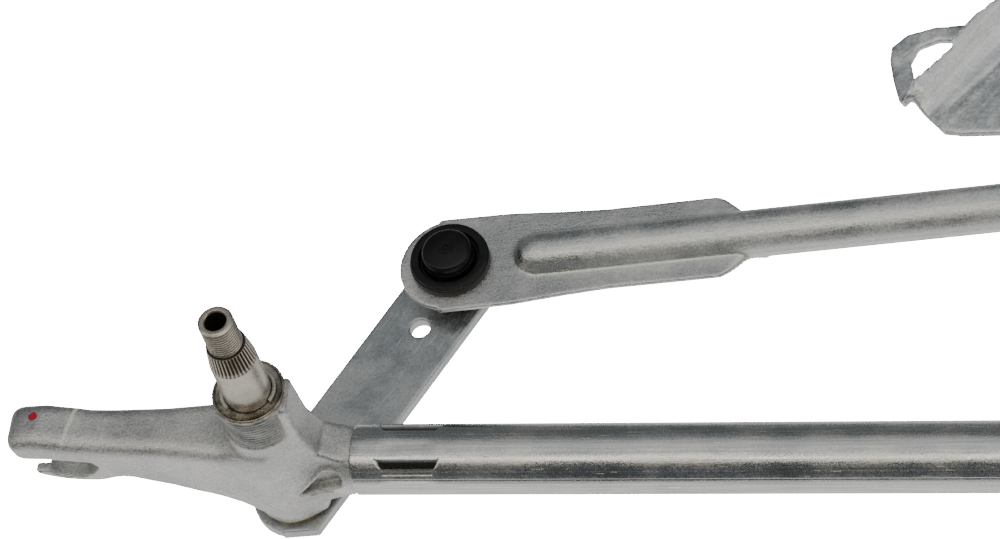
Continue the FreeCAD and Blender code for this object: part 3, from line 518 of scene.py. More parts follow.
def skin(grid, ring=False):
    """Closed shell from rows of points, each row a loop.  With ring the last row joins the
    first, otherwise a fan to its middle closes each end row.  Faces are turned outwards by the
    sign of the volume under them."""
    rows, columns = grid.shape[:2]
    points = grid.reshape(-1, 3)
    row = np.arange(rows if ring else rows - 1)[:, None] * columns
    over = (np.arange(rows if ring else rows - 1)[:, None] + 1) % rows * columns
    column = np.arange(columns)
    beside = (column + 1) % columns
    quads = np.stack([row + column, row + beside, over + beside, over + column], -1)
    quads = quads.reshape(-1, 4)
    fans = None
    if not ring:
        points = np.concatenate([points, grid[:1].mean(1), grid[-1:].mean(1)])
        first, last = rows * columns, rows * columns + 1
        near = np.stack([beside, column, np.full(columns, first)], 1)
        edge = (rows - 1) * columns
        far = np.stack([edge + column, edge + beside, np.full(columns, last)], 1)
        fans = np.concatenate([near, far])
    a, b, c, d = (points[quads[:, i]] for i in range(4))
    volume = np.einsum("ij,ij->", a, np.cross(b, c)) + np.einsum("ij,ij->", a, np.cross(c, d))
    if fans is not None:
        a, b, c = (points[fans[:, i]] for i in range(3))
        volume += np.einsum("ij,ij->", a, np.cross(b, c))
    if volume < 0:
        quads = quads[:, ::-1]
        fans = None if fans is None else fans[:, ::-1]
    return points, quads, fans


def eased(corners, closed=False, steps=5):
    """A profile through (radius, height, rounding) corners, each corner replaced by a parabola
    that leaves the two sides at the rounding's distance from it."""
    spots = np.array(corners, float)
    here = spots[:, None, :2]
    before, after = (np.roll(here, way, 0) - here for way in (1, -1))
    lengths = [np.linalg.norm(side, axis=-1, keepdims=True) for side in (before, after)]
    size = np.minimum(spots[:, None, 2:], np.minimum(*lengths) * 0.49)
    start, end = here + before / lengths[0] * size, here + after / lengths[1] * size
    if not closed:
        start[0] = end[0] = here[0]
        start[-1] = end[-1] = here[-1]
    s = np.linspace(0, 1, steps)[None, :, None]
    path = ((1 - s) ** 2 * start + 2 * s * (1 - s) * here + s**2 * end).reshape(-1, 2)
    keep = np.linalg.norm(path - np.roll(path, 1, 0), axis=1) > 1e-5
    keep[0] = True
    return path[keep]


def once_round(columns):
    """Evenly spaced angles, once round."""
    return np.linspace(0, 2 * np.pi, columns, endpoint=False)


def about_z(radius, height, angle):
    """Points at a radius and a height, at an angle about Z."""
    spots = np.broadcast_arrays(radius * np.cos(angle), radius * np.sin(angle), height)
    return np.stack(spots, -1)


def lathe(profile, columns=96, closed=False):
    """Surface of revolution: each profile point goes round Z in a loop of columns points."""
    return skin(about_z(profile[:, :1], profile[:, 1:], once_round(columns)), closed)


def knurled_band():
    """Ring whose outer radius dips by a cosine of height, deeper and shallower round the ring,
    with a worn top edge."""
    rows, columns, pitch, dip = 150, 240, 1.15, 0.36
    height = np.linspace(BAND_FOOT, BARREL_TOP, rows)[:, None]
    angle = once_round(columns)
    sway = 0.12 * np.sin(3 * angle + 1.0) + 0.05 * np.sin(11 * angle)
    depth = dip * (0.75 + 0.25 * np.sin(5 * angle + height))
    wave = (0.5 + 0.5 * np.cos(2 * np.pi * (height + sway) / pitch)) ** 1.5
    outer = BAND - depth * wave
    outer = outer - 0.3 * np.clip((height - BARREL_TOP + 0.5) / 0.5, 0, 1) ** 2
    inner = np.full_like(outer[:1], CORE - 0.6)
    radius = np.concatenate([outer, inner, inner])
    heights = np.concatenate([height, [[BARREL_TOP]], [[BAND_FOOT]]])
    return skin(about_z(radius, heights, angle), True)


turned_aluminium = metal("turned_aluminium", (0.34, 0.345, 0.34), (0.52, 0.515, 0.50), 0.36,
                         patch=160, grain=2600, grit=0.4, scratch=0.4, relief=0.05)
band_shell = knurled_band()
for side, pivot in PIVOTS.items():
    band = piece(side + "_knurled_band", [placed(band_shell, pivot[0], 0, AXIS)],
                 turned_aluminium, 80)
    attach(band, "frame")


# ---- bushes --------------------------------------------------------------------------------
# Sintered bronze sleeves pressed into both ends of each barrel; the spindle turns in them.

bronze = metal("bronze", (0.42, 0.26, 0.12), (0.62, 0.42, 0.22), 0.42, grain=3500, grit=0.35)
for side in PIVOTS:
    for end in ("upper", "lower"):
        nodes[side + "_" + end + "_bush"].data.materials[0] = bronze


# ---- spindles ------------------------------------------------------------------------------
# Ground steel: a riveted foot in the lever, a plain shank, a splined taper that grips the wiper
# arm, an M10 thread for its nut, and a blind centre bore from the lathe.

SHANK, THREAD, PITCH, THREAD_DEEP = 6.75, 5.0, 1.0, 0.5
SPLINE_FOOT, SPLINE_TOP, SPLINES, SPLINE_DEEP = -13.4, -5.7, 36, 0.5
SPLINE_END = 5.75
TIP, TIP_BORE, TIP_BORE_DEEP = 5.7, 3.0, 12.0
FOOT, FOOT_HEAD, FOOT_DEEP = 5.5, 7.5, 1.5
LEVER_LOW, LEVER_TOP = (corner[2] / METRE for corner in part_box("left_lever"))


def spindle_shell():
    """Revolved profile whose radius is cut by V grooves round the taper and by a helix along the
    thread: the groove depth is a triangle wave of turns minus height over pitch."""
    foot = eased([(0.3, LEVER_LOW - FOOT_DEEP, 0), (5.4, LEVER_LOW - FOOT_DEEP, 1.4),
                  (7.4, LEVER_LOW - 0.6, 0.8), (FOOT_HEAD, LEVER_LOW, 0.1), (FOOT, LEVER_LOW, 0.05),
                  (FOOT, LEVER_TOP, 0.05), (SHANK, LEVER_TOP, 0.2), (SHANK, SPLINE_FOOT, 0)])
    spline = np.stack([np.linspace(SHANK - 0.02, SPLINE_END, 34),
                       np.linspace(SPLINE_FOOT + 0.1, SPLINE_TOP - 0.3, 34)], 1)
    neck = np.array([(5.6, SPLINE_TOP - 0.1), (5.15, SPLINE_TOP), (4.4, SPLINE_TOP + 0.15)])
    thread = np.stack([np.full(110, THREAD), np.linspace(SPLINE_TOP + 0.5, TIP - 0.55, 110)], 1)
    tip = eased([(THREAD - 0.02, TIP - 0.5, 0), (4.35, TIP, 0.15), (TIP_BORE + 0.35, TIP, 0.1),
                 (TIP_BORE, TIP - 0.5, 0.1), (TIP_BORE, TIP - TIP_BORE_DEEP, 0.4),
                 (0.2, TIP - TIP_BORE_DEEP - 0.8, 0)])
    profile = np.concatenate([foot, spline, neck, thread, tip])
    angle = once_round(288)
    radius, height = profile[:, :1] + 0 * angle, profile[:, 1:] + 0 * angle
    ridge = 1 - np.abs(1 - 2 * ((SPLINES * angle / (2 * np.pi)) % 1.0))
    run_out = np.clip((height - SPLINE_FOOT - 0.1) / 1.6, 0, 1) ** 0.5
    on_spline = (height > SPLINE_FOOT) & (height < SPLINE_TOP - 0.2)
    radius = radius - np.where(on_spline, SPLINE_DEEP * ridge**0.8 * run_out, 0)
    turns = height / PITCH - angle / (2 * np.pi)
    cut = np.clip(1.25 * (1 - np.abs(1 - 2 * (turns % 1.0))) - 0.15, 0, 1)
    fade = np.clip((height - SPLINE_TOP - 0.3) / 1.0, 0, 1) * np.clip((TIP - height) / 0.8, 0, 1)
    start = len(foot) + len(spline) + len(neck)
    on_thread = np.zeros(len(profile), bool)
    on_thread[start:start + len(thread)] = True
    radius = radius - np.where(on_thread[:, None], THREAD_DEEP * cut * fade, 0)
    return skin(about_z(radius, height, angle))


def from_axis(tree, across, over):
    """Distance from an axis: the root of the sum of two squares."""
    squares = (maths(tree, "POWER", side, 2.0) for side in (across, over))
    return maths(tree, "SQRT", maths(tree, "ADD", *squares))


def shaded_roots(material):
    """Painted shade, tinted brown, in the spline and thread roots and down the tip's blind bore:
    darker the nearer the axis.
    """
    tree = material.node_tree
    part = object_place(tree)[1]
    left, right = PIVOTS["left"][0] * METRE, PIVOTS["right"][0] * METRE
    out = maths(tree, "ABSOLUTE", maths(tree, "SUBTRACT", part["X"], (left + right) / 2))
    out = maths(tree, "SUBTRACT", out, (right - left) / 2)
    radius, height = from_axis(tree, out, part["Y"]), part["Z"]
    taper = ramp(tree, height, SPLINE_FOOT * METRE, SPLINE_TOP * METRE, SHANK * METRE,
                 SPLINE_END * METRE, False)
    above = ramp(tree, height, (SPLINE_TOP - 0.1) * METRE, (SPLINE_TOP + 0.1) * METRE, 1.0,
                 THREAD * METRE)
    crest = maths(tree, "MINIMUM", taper, above)
    depth = maths(tree, "SUBTRACT", crest, radius)
    root_shade = ramp(tree, depth, 0.00008, 0.0004)
    for start, end in ((SPLINE_FOOT - 1.1, SPLINE_FOOT - 0.1), (TIP - 0.6, TIP - 1.0)):
        root_shade = maths(tree, "MULTIPLY", root_shade, ramp(tree, height, start * METRE, end * METRE))
    bore = maths(tree, "MULTIPLY",
                 ramp(tree, radius, (TIP_BORE + 0.1) * METRE, (TIP_BORE - 0.2) * METRE),
                 ramp(tree, height, -0.02, -0.01))
    overlaid(material, maths(tree, "MAXIMUM", root_shade, bore), (0.075, 0.055, 0.035), 0.3)


spindle_steel = metal("spindle_steel", (0.43, 0.395, 0.345), (0.59, 0.56, 0.50), 0.27, patch=120,
                      grain=3500, grit=0.2, scratch=0.2, relief=0.012)
# Painted shade in the spindle's spline and thread roots and its tip bore.
shaded_roots(spindle_steel)
spindle_mesh = spindle_shell()
for side, pivot in PIVOTS.items():
    spindle = piece(side + "_turned_spindle", [placed(spindle_mesh, pivot[0])], spindle_steel, 50)
    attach(spindle, side + "_arm")
    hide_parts(side + "_spindle")


# ---- ring washers and circlips -------------------------------------------------------------
# A pressed steel washer with a rolled rim covers the barrel's mouth, held down by an open spring
# ring sprung into the spindle's groove.

RING_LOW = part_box("left_ring_washer")[0][2] / METRE

washer_steel = metal("washer_steel", (0.20, 0.18, 0.15), (0.50, 0.46, 0.40), 0.28, patch=300,
                     grain=2800, grit=0.4, scratch=0.3, relief=0.02)
spring_steel = metal("spring_steel", (0.55, 0.52, 0.47), (0.78, 0.75, 0.68), 0.26, grain=3500,
                     grit=0.3, scratch=0.2, relief=0.02)
washer_shell = lathe(eased([
    (6.95, 0.25, 0.1), (9.6, 0.02, 0.4), (10.45, 0.1, 0.5), (10.45, 1.1, 0.5), (9.95, 1.55, 0.3),
    (9.4, 1.0, 0.3), (8.4, 0.8, 0.2), (6.95, 0.7, 0.1)], True), 128, True)


def open_ring(inner, outer, thick, gap):
    """A flat wire ring with a gap, centred on -Y: a rounded box section carried round an arc."""
    angle = np.radians(np.linspace(-90 + gap / 2, 270 - gap / 2, 72))[:, None]
    section = eased([(inner, 0, 0.2), (outer, 0, 0.2), (outer, thick, 0.2), (inner, thick, 0.2)],
                    True, 3)
    radius, height = section[:, 0], section[:, 1]
    return skin(about_z(radius, height, angle))


clip_shell = open_ring(6.95, 8.0, 0.9, 105.0)
for side, pivot in PIVOTS.items():
    washer = piece(side + "_rolled_washer", [placed(washer_shell, pivot[0], 0, RING_LOW)],
                   washer_steel)
    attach(washer, side + "_arm")
    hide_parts(side + "_ring_washer")
    clip = piece(side + "_spring_ring", [placed(clip_shell, pivot[0], 0, RING_LOW + 1.0, 10)],
                 spring_steel)
    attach(clip, side + "_arm")
    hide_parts(side + "_circlip")


# ---- thrust washers ------------------------------------------------------------------------
# Yellow passivated steel washers, greased, between each barrel's foot and its lever.

zinc_yellow = metal("zinc_yellow", (0.30, 0.22, 0.07), (0.52, 0.42, 0.16), 0.4, grain=3000)
for side in PIVOTS:
    nodes[side + "_thrust_washer"].data.materials[0] = zinc_yellow


# ---- levers and crank ----------------------------------------------------------------------
# Arms cropped from flat strip, one corner of the hub end left square, with the edges rolled over
# by the press tool.  A locating hole holds them in the assembly jig.  Zinc plated.

LEVER_HALF, LEVER_REACH, LEVER_ANGLE = 12.7, 82.0, 62.0
LEVER_THICK, LEVER_MID = LEVER_TOP - LEVER_LOW, (LEVER_LOW + LEVER_TOP) / 2
HUB_CORNER = [(-6.9, -12.7), (3, -12.7), (3, 3), (-12.65, -3.8)]
CRANK_HOLE, STUD_HOLE, JIG_HOLE, JIG_OUT = 4.0, 4.0, 3.0, 62.7


def strip_arm(hub_hole, jig_hole):
    """Shell of a flat arm along X: the union of two discs, the strip between them and the square
    corner, as thick as the strip, less its holes."""
    def field(x, y, z):
        hub, nose = np.hypot(x, y) - LEVER_HALF, np.hypot(x - LEVER_REACH, y) - LEVER_HALF
        strip = np.maximum(np.abs(y) - LEVER_HALF, np.abs(x - LEVER_REACH / 2) - LEVER_REACH / 2)
        plan = np.minimum(np.minimum(hub, nose), np.minimum(strip, outline(HUB_CORNER, x, y)))
        plan = np.maximum(plan, hub_hole - np.hypot(x, y))
        plan = np.maximum(plan, STUD_HOLE - np.hypot(x - LEVER_REACH, y))
        if jig_hole:
            plan = np.maximum(plan, JIG_HOLE - np.hypot(x - JIG_OUT, y))
        return both(plan, np.abs(z) - LEVER_THICK / 2, 0.4)
    return net(field, (-14, -14, -3), (96, 14, 3), (0.5, 0.4, 0.4))


zinc_plate = metal("zinc_plate", (0.37, 0.40, 0.42), (0.56, 0.58, 0.58), 0.33, patch=75,
                   grain=1900, turn=-LEVER_ANGLE, grit=0.3, scratch=0.5, relief=0.015, mottle=0.16)
lever_shell, crank_shell = strip_arm(FOOT - 0.1, True), strip_arm(CRANK_HOLE, False)
for side, pivot in PIVOTS.items():
    lever = piece(side + "_strip_lever",
                  [placed(lever_shell, pivot[0], 0, LEVER_MID, LEVER_ANGLE)], zinc_plate, 50)
    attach(lever, side + "_arm")
    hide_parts(side + "_lever")


CRANK = centre("output_shaft")
crank = piece("strip_crank", [placed(crank_shell, CRANK[0], CRANK[1], LEVER_MID, LEVER_ANGLE)],
              zinc_plate, 50)
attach(crank, "crank")
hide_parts("crank_arm")


# ---- ball studs ----------------------------------------------------------------------------
# Hardened steel balls on waisted necks, pressed through the arms and riveted over.

ball_steel = metal("ball_steel", (0.50, 0.50, 0.49), (0.62, 0.62, 0.60), 0.18, grain=4000,
                   grit=0.1, scratch=0.1, relief=0.004)
for name in ("left_ball_stud", "right_ball_stud", "upper_crank_ball", "lower_crank_ball"):
    nodes[name].data.materials[0] = ball_steel


# ---- cross tube ----------------------------------------------------------------------------
# Drawn galvanised steel tube.  A press lances four tongues at each end into grooves in the
# housing's spigot, which locks the tube on without a weld.

TUBE, TUBE_INSIDE = 10.0, 8.55
LANCE_START, LANCE_LONG = 29.5, 19.2
LANCE_TURNS = (30.0, -42.0, 138.0, 210.0)
DRAW_MARKS = (50.6, 66.0)


def bump_to(value, start, rise, end, fall):
    """Nought, up to one over the rise from start, then back to nought over the fall to end."""
    return np.clip((value - start) / rise, 0, 1) * np.clip((end - value) / fall, 0, 1)


def lanced_tube():
    """Tube whose outer radius is lowered in four places at each end: a slot that gets deeper round
    the tube, a torn tongue after its step, then a shallow dip; two draw marks run all along."""
    low, high = TUBE_LOW[0], TUBE_HIGH[0]
    near = np.concatenate([[low, low + 0.25, low + 0.5], np.linspace(low + 3, low + 30, 96)])
    x = np.concatenate([near, np.linspace(low + 40, high - 40, 24), (low + high) - near[::-1]])
    angle = once_round(360)
    lean = np.degrees(angle)
    from_end = np.minimum(x - low, high - x)[:, None] + low - LANCE_START
    depth = np.zeros((len(x), len(angle)))
    for start in LANCE_TURNS:
        turn_in = (lean - start + 180) % 360 - 180
        narrow = 1.9 * np.clip(turn_in / 16.0, 0, 1.0)
        reach = np.minimum(from_end - narrow, LANCE_LONG - 0.9 * narrow - from_end)
        ends = np.clip(reach / 0.45, 0, 1)
        slope = 0.15 + 1.3 * np.clip(turn_in / 14.0, 0, 1)
        slot = slope * bump_to(turn_in, 0.0, 1.2, 17.0, 0.9)
        tongue = 0.24 * bump_to(turn_in, 16.0, 0.9, 29.5, 3.0)
        tear = 1 + 0.35 * np.sin(9.0 * from_end) * np.sin(0.9 * turn_in)
        dip = 0.26 * np.exp(-((turn_in - 50) / 9.0) ** 2)
        dip_end = np.clip(np.minimum(from_end - 1, LANCE_LONG - 1 - from_end) / 4.0, 0, 1)
        depth += slot * ends + tongue * tear * ends + dip * dip_end
    for mark in DRAW_MARKS:
        off = (lean - mark + 180) % 360 - 180
        depth += 0.07 * np.exp(-(off / 0.7) ** 2)
    ends = np.clip(1 - np.minimum(x - low, high - x) / 0.5, 0, 1)[:, None]
    outer = TUBE - depth - 0.25 * ends**2
    inner = np.full((2, len(angle)), TUBE_INSIDE)
    radius = np.concatenate([outer, inner])
    place = np.concatenate([x, [high, low]])[:, None] + 0 * radius
    return skin(np.stack([place, -radius * np.sin(angle), radius * np.cos(angle) + AXIS], -1), True)


def shaded_slots(material):
    """Painted shade on the parts of the tube that lie nearer its axis than its outer skin."""
    tree = material.node_tree
    part = object_place(tree)[1]
    radius = from_axis(tree, maths(tree, "SUBTRACT", part["Z"], AXIS * METRE), part["Y"])
    mask = ramp(tree, radius, (TUBE - 0.35) * METRE, (TUBE - 0.8) * METRE)
    overlaid(material, mask, (0.09, 0.088, 0.08), 0.25)


drawn_zinc = metal("drawn_zinc", (0.52, 0.53, 0.525), (0.66, 0.66, 0.64), 0.22, patch=50,
                   grain=1800, line=1500, grit=0.25, drawn=0.35, scratch=0.25, relief=0.015,
                   mottle=0.12)
# Painted shade in the tube's lanced slots.
shaded_slots(drawn_zinc)
tube = piece("lanced_cross_tube", [lanced_tube()], drawn_zinc, 50)
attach(tube, "frame")
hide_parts("cross_tube")


# ---- links ---------------------------------------------------------------------------------
# Galvanised sheet.  Each end is a flat pad with a hole for the ball socket and a raised half
# round rib; past the pads the wings are folded down and the strip is rolled into a tube.

SHEET, PAD_END, PAD_WAIST, RIB, RIB_START = 1.8, 16.0, 13.8, 6.1, 26.0
SOCKET_SEAT = 10.0
PAD_WIDE = ((0, PAD_END), (18, PAD_END - 0.2), (33, 14.5), (46, 13.7), (78, PAD_WAIST))


def rolled_link(length):
    """Shell of a link along X, the same from both ends: a sheet on the middle plane inside the
    pad's outline, a half round rib with a ball-shaped nose, wings that sink and narrow past the
    pad, and the other half of the tube after them."""
    def field(x, y, z):
        reach = np.minimum(x, length - x)
        past = np.maximum(RIB_START - reach, 0)
        about = np.sqrt(y**2 + z**2 + past**2)
        rib = both(np.abs(about - RIB) - SHEET / 2, -z - 0.6, 0.3)
        share = np.clip((reach - 78) / 13, 0, 1)
        half = 6.0 + (read(PAD_WIDE, reach) - 6.0) * (1 - share * share * (3 - 2 * share))
        sink = np.clip((reach - 84.5 + 0.8 * (np.abs(y) - 7)) / 8, 0, 1)
        dent = -5.0 * sink * sink * (3 - 2 * sink)
        ends = np.minimum(np.hypot(np.minimum(reach, 0), y) - 15.5, -4.0 - reach)
        plan = np.maximum(np.maximum(np.abs(y) - half, reach - 92), ends)
        sheet = both(np.abs(z - dent) * 0.8 - SHEET * 0.4, plan, 0.6)
        sheet = np.maximum(sheet, RIB - 0.2 - np.where(reach > 19, about, 99))
        lower = np.maximum(np.abs(np.hypot(y, z) - RIB) - SHEET / 2, z)
        lower = np.maximum(lower, 83.5 - reach + 0.4 * (z + 6))
        seam = 0.3 - np.where(z < 0, np.abs(y), 9)
        solid = least(least(sheet, rib, 0.7), np.maximum(lower, seam), 0.8)
        return np.maximum(solid, SOCKET_SEAT - np.hypot(np.minimum(np.abs(reach), 30), y))
    return net(field, (-17, -17, -8), (length + 17, 17, 8), (1.0, 0.42, 0.42))


PADS = {}
for side in PIVOTS:
    outer, inner = centre(side + "_outer_socket"), centre(side + "_crank_socket")
    start, end = (outer, inner) if side == "left" else (inner, outer)
    run = end[:2] - start[:2]
    PADS[side] = (start, float(np.hypot(*run)), float(np.degrees(np.arctan2(run[1], run[0]))))
BALL_RISE, PAD_RISE = 7.9, 7.1
PAD_MID = {"left": LEVER_TOP + PAD_RISE, "right": LEVER_LOW - PAD_RISE}

for side in PIVOTS:
    start, length, angle = PADS[side]
    link_zinc = metal(side + "_link_zinc", (0.56, 0.575, 0.57), (0.74, 0.75, 0.735), 0.30, patch=60,
                      grain=1700, line=1100, turn=-angle, grit=0.3, drawn=0.12, scratch=0.2,
                      relief=0.05, mottle=0.2)
    shell = placed(rolled_link(length), start[0], start[1], PAD_MID[side], angle, side == "right")
    link = piece(side + "_rolled_link", [shell], link_zinc, 60)
    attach(link, side + "_link")
    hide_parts(side + "_link")


# ---- ball sockets --------------------------------------------------------------------------
# Black acetal caps, snapped through the pads from above: two stacked flanges, a deep groove and a
# domed crown with the gate mark of the mould in its middle.

BALL_SEAT, MOUTH, SKIRT, CROWN = 6.55, 5.85, 9.98, 8.8
FLANGE_LOW, FLANGE_HIGH, FLANGE_TALL, GROOVE_FLOOR = 11.75, 11.35, 4.0, 2.2


def socket_shell():
    """Revolved cap, from the ball's seat under it over the skirt, flanges, groove and dome."""
    seat, top = PAD_RISE + SHEET / 2, BALL_RISE + CROWN
    ball = np.linspace(np.arcsin(MOUTH / BALL_SEAT) - np.pi, -0.02, 20)
    inside = np.stack([-BALL_SEAT * np.sin(ball), BALL_RISE + BALL_SEAT * np.cos(ball)], 1)[::-1]
    outside = eased([
        (MOUTH, 1.7, 0), (SKIRT - 0.38, 1.7, 0.5), (SKIRT, 3.0, 0.3), (SKIRT, seat, 0.05),
        (FLANGE_LOW, seat, 0.3), (FLANGE_LOW, seat + 2.6, 0.4), (FLANGE_HIGH, seat + 2.8, 0.1),
        (FLANGE_HIGH, seat + FLANGE_TALL, 0.35), (8.9, seat + FLANGE_TALL, 0.3),
        (8.8, seat + GROOVE_FLOOR, 0.3), (8.0, seat + GROOVE_FLOOR, 0.3), (7.95, top - 4.2, 0.3),
        (7.6, top - 3.6, 0.5), (7.2, top - 0.9, 1.7), (2.6, top - 0.4, 1.0),
        (2.05, top - 0.4, 0.1), (1.95, top, 0.15), (1.0, top, 0.1), (0.9, top - 0.5, 0.05),
        (0.1, top - 0.5, 0)])
    return lathe(np.concatenate([inside, outside]), 112)


def black_plastic():
    """Moulded black plastic: nearly black, satin, with a faint eggshell relief and paler dust."""
    material, tree, shader = new_material("black_plastic")
    place = node(tree, "ShaderNodeTexCoord").outputs["Object"]
    shell = node(tree, "ShaderNodeTexNoise", {"Vector": place, "Scale": 1600.0, "Detail": 2.0})
    dust = node(tree, "ShaderNodeTexNoise", {"Vector": place, "Scale": 260.0, "Detail": 5.0})
    dust = ramp(tree, dust.outputs[0], 0.48, 0.85)
    tone = mixed(tree, dust, (0.004, 0.004, 0.0045, 1), (0.011, 0.011, 0.012, 1))
    bump = node(tree, "ShaderNodeBump", {"Height": shell.outputs[0], "Distance": 0.00002})
    shader.inputs["Specular IOR Level"].default_value = 0.3
    tree.links.new(tone, shader.inputs["Base Color"])
    tree.links.new(ramp(tree, dust, 0.0, 1.0, 0.3, 0.42), shader.inputs["Roughness"])
    tree.links.new(bump.outputs[0], shader.inputs["Normal"])
    return material


socket_black = black_plastic()
cap_shell = socket_shell()
for side in PIVOTS:
    base = LEVER_LOW if side == "right" else LEVER_TOP
    for end in ("outer", "crank"):
        spot = centre(side + "_" + end + "_socket")
        cap = piece(side + "_" + end + "_cap",
                    [placed(cap_shell, spot[0], spot[1], base, 0, side == "right")],
                    socket_black, 35)
        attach(cap, side + "_link")
        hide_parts(side + "_" + end + "_socket")


# ---- motor bracket -------------------------------------------------------------------------
# Pressed galvanised plate, hooked round the cross tube and welded to it.  It carries the gear
# motor, and its ridged leg ends in an open eye that bolts to the car.

PLATE, SHAFT_HOLE, SCREW_HOLE = 2.5, 15.0, 3.3
PLATE_MID, PLATE_TOP = TUBE + PLATE / 2, TUBE + PLATE
BOSS_ANGLES, BOSS_OUT = (-10.0, 90.0, 190.0), 43.0
BOSSES = [(CRANK[0] + BOSS_OUT * np.cos(np.radians(angle)),
           CRANK[1] + BOSS_OUT * np.sin(np.radians(angle))) for angle in BOSS_ANGLES]
PLATE_PLAN = [
    (214, 2), (306, 2), (315, 12), (315, 26), (298, 48), (288, 96), (262, 138), (236, 150),
    (206, 150), (198, 144), (192, 137.2), (179, 136.5), (171, 134), (166.6, 129.6), (166.4, 125),
    (167.7, 118.5), (169.8, 111.2), (171.6, 109.2), (174.3, 109.4), (177, 106.5), (183.5, 99.6),
    (188, 98.8), (212, 98.8), (220, 87), (220, 42), (210, 30), (210, 10)]
EYE_PLAN = [(172.9, 124.0), (174.9, 129.0), (180.2, 131.4), (184.4, 131.2), (184.6, 126.0),
            (176.2, 115.6), (174.6, 116.6)]
RIDGE_X, RIDGE_Y, RIDGE_HIGH, GUTTER_DEEP = 174.6, 112.8, 5.2, 0.7
LEG_COS, LEG_SIN = 0.583, 0.812
HOOK_MID, HOOK_HALF, HOOK_GAP = 260, 46, 0.02


def pressed_bracket(x, y, z):
    """A sheet that follows a height over the plan: flat, with a ridge that rises steeply from the
    ear's side and slopes away, and a gutter along the leg, hooked round the tube at the front."""
    plan = without(outline(PLATE_PLAN, x, y), outline(EYE_PLAN, x, y) - 0.2, 0.4)
    plan = np.maximum(plan, SHAFT_HOLE - np.hypot(x - CRANK[0], y - CRANK[1]))
    across = (x - RIDGE_X) * LEG_SIN - (y - RIDGE_Y) * LEG_COS
    along = (x - RIDGE_X) * LEG_COS + (y - RIDGE_Y) * LEG_SIN
    wide = 9.5 + np.clip(along, -8, 40) * 0.1
    fall = np.clip(across / wide, 0, 1)
    rise = np.clip((across + 1.2) / 1.6, 0, 1)
    ridge = RIDGE_HIGH * rise * (1 - fall**1.6 * (3 - 2 * fall))
    ridge = ridge * np.clip((along + 6) / 6, 0, 1) ** 0.7 * np.clip((46 - along) / 8, 0, 1)
    gutter = -GUTTER_DEEP * np.exp(-((across - wide - 1.2) / 1.3) ** 2)
    gutter = gutter * bump_to(along, -4, 8, 46, 8)
    height = PLATE_MID + ridge + gutter
    slope_x, slope_y = np.gradient(height[..., 0], x[:, 0, 0], y[0, :, 0])
    steep = np.sqrt(1 + slope_x**2 + slope_y**2)[..., None]
    sheet = both(np.abs(z - height) / steep - PLATE / 2, plan, 0.7)
    for boss_x, boss_y in BOSSES:
        sheet = np.maximum(sheet, SCREW_HOLE - np.hypot(x - boss_x, y - boss_y))
    hook = np.abs(np.hypot(y, z) - PLATE_MID - HOOK_GAP) - PLATE / 2
    hook = np.maximum(hook, np.abs(x - HOOK_MID) - HOOK_HALF)
    hook = np.maximum(hook, np.where(z < PLATE_MID, y, 0))
    sheet = np.maximum(sheet, TUBE + HOOK_GAP - np.hypot(y, z))
    return least(sheet, both(hook, y - 0.6, 0.4), 1.0)


bracket_zinc = metal("bracket_zinc", (0.56, 0.59, 0.61), (0.80, 0.82, 0.82), 0.36, patch=110,
                     grain=900, line=520, turn=-54, grit=0.25, drawn=0.3, scratch=0.5,
                     relief=0.04, mottle=0.2)
plate_shell = net(pressed_bracket, (164, -14.5, -14), (317, 152, 22), (0.7, 0.7, 0.5))
plate = piece("pressed_motor_bracket", [placed(plate_shell, 0, 0, AXIS)], bracket_zinc, 60)
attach(plate, "frame")
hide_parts("motor_bracket")


# ---- gear case -----------------------------------------------------------------------------
# Die cast pot for the worm wheel with outer ribs, a tunnel for the worm, a long neck for the
# output shaft and three bosses, held to the bracket by flanged hex screws from below.

LID_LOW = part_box("gear_lid")[0][2] / METRE
POT_HIGH = LID_LOW - AXIS
POT_LOW, POT, POT_INSIDE, POT_FLOOR, NECK_OUT = 18.0, 38.0, 35.0, 21.0, 13.0
TWELFTH, SIXTH = np.pi / 6, np.pi / 3
TUNNEL, FLANGE, WORM_BORE, SHAFT_BORE, BOSS, BOSS_BORE = 12.0, 27.0, 7.0, 5.05, 6.9, 3.05
CAN = centre("motor_can")
CAN_START, CAN_END = (corner[0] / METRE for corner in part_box("motor_can"))
WORM_UP = CAN[2] - AXIS


def off_spoke(turn_at, about, sector):
    """Distance round a circle from the nearest of the spokes, which are a sector apart."""
    return np.abs((turn_at / sector) % 1.0 - 0.5) * sector * about


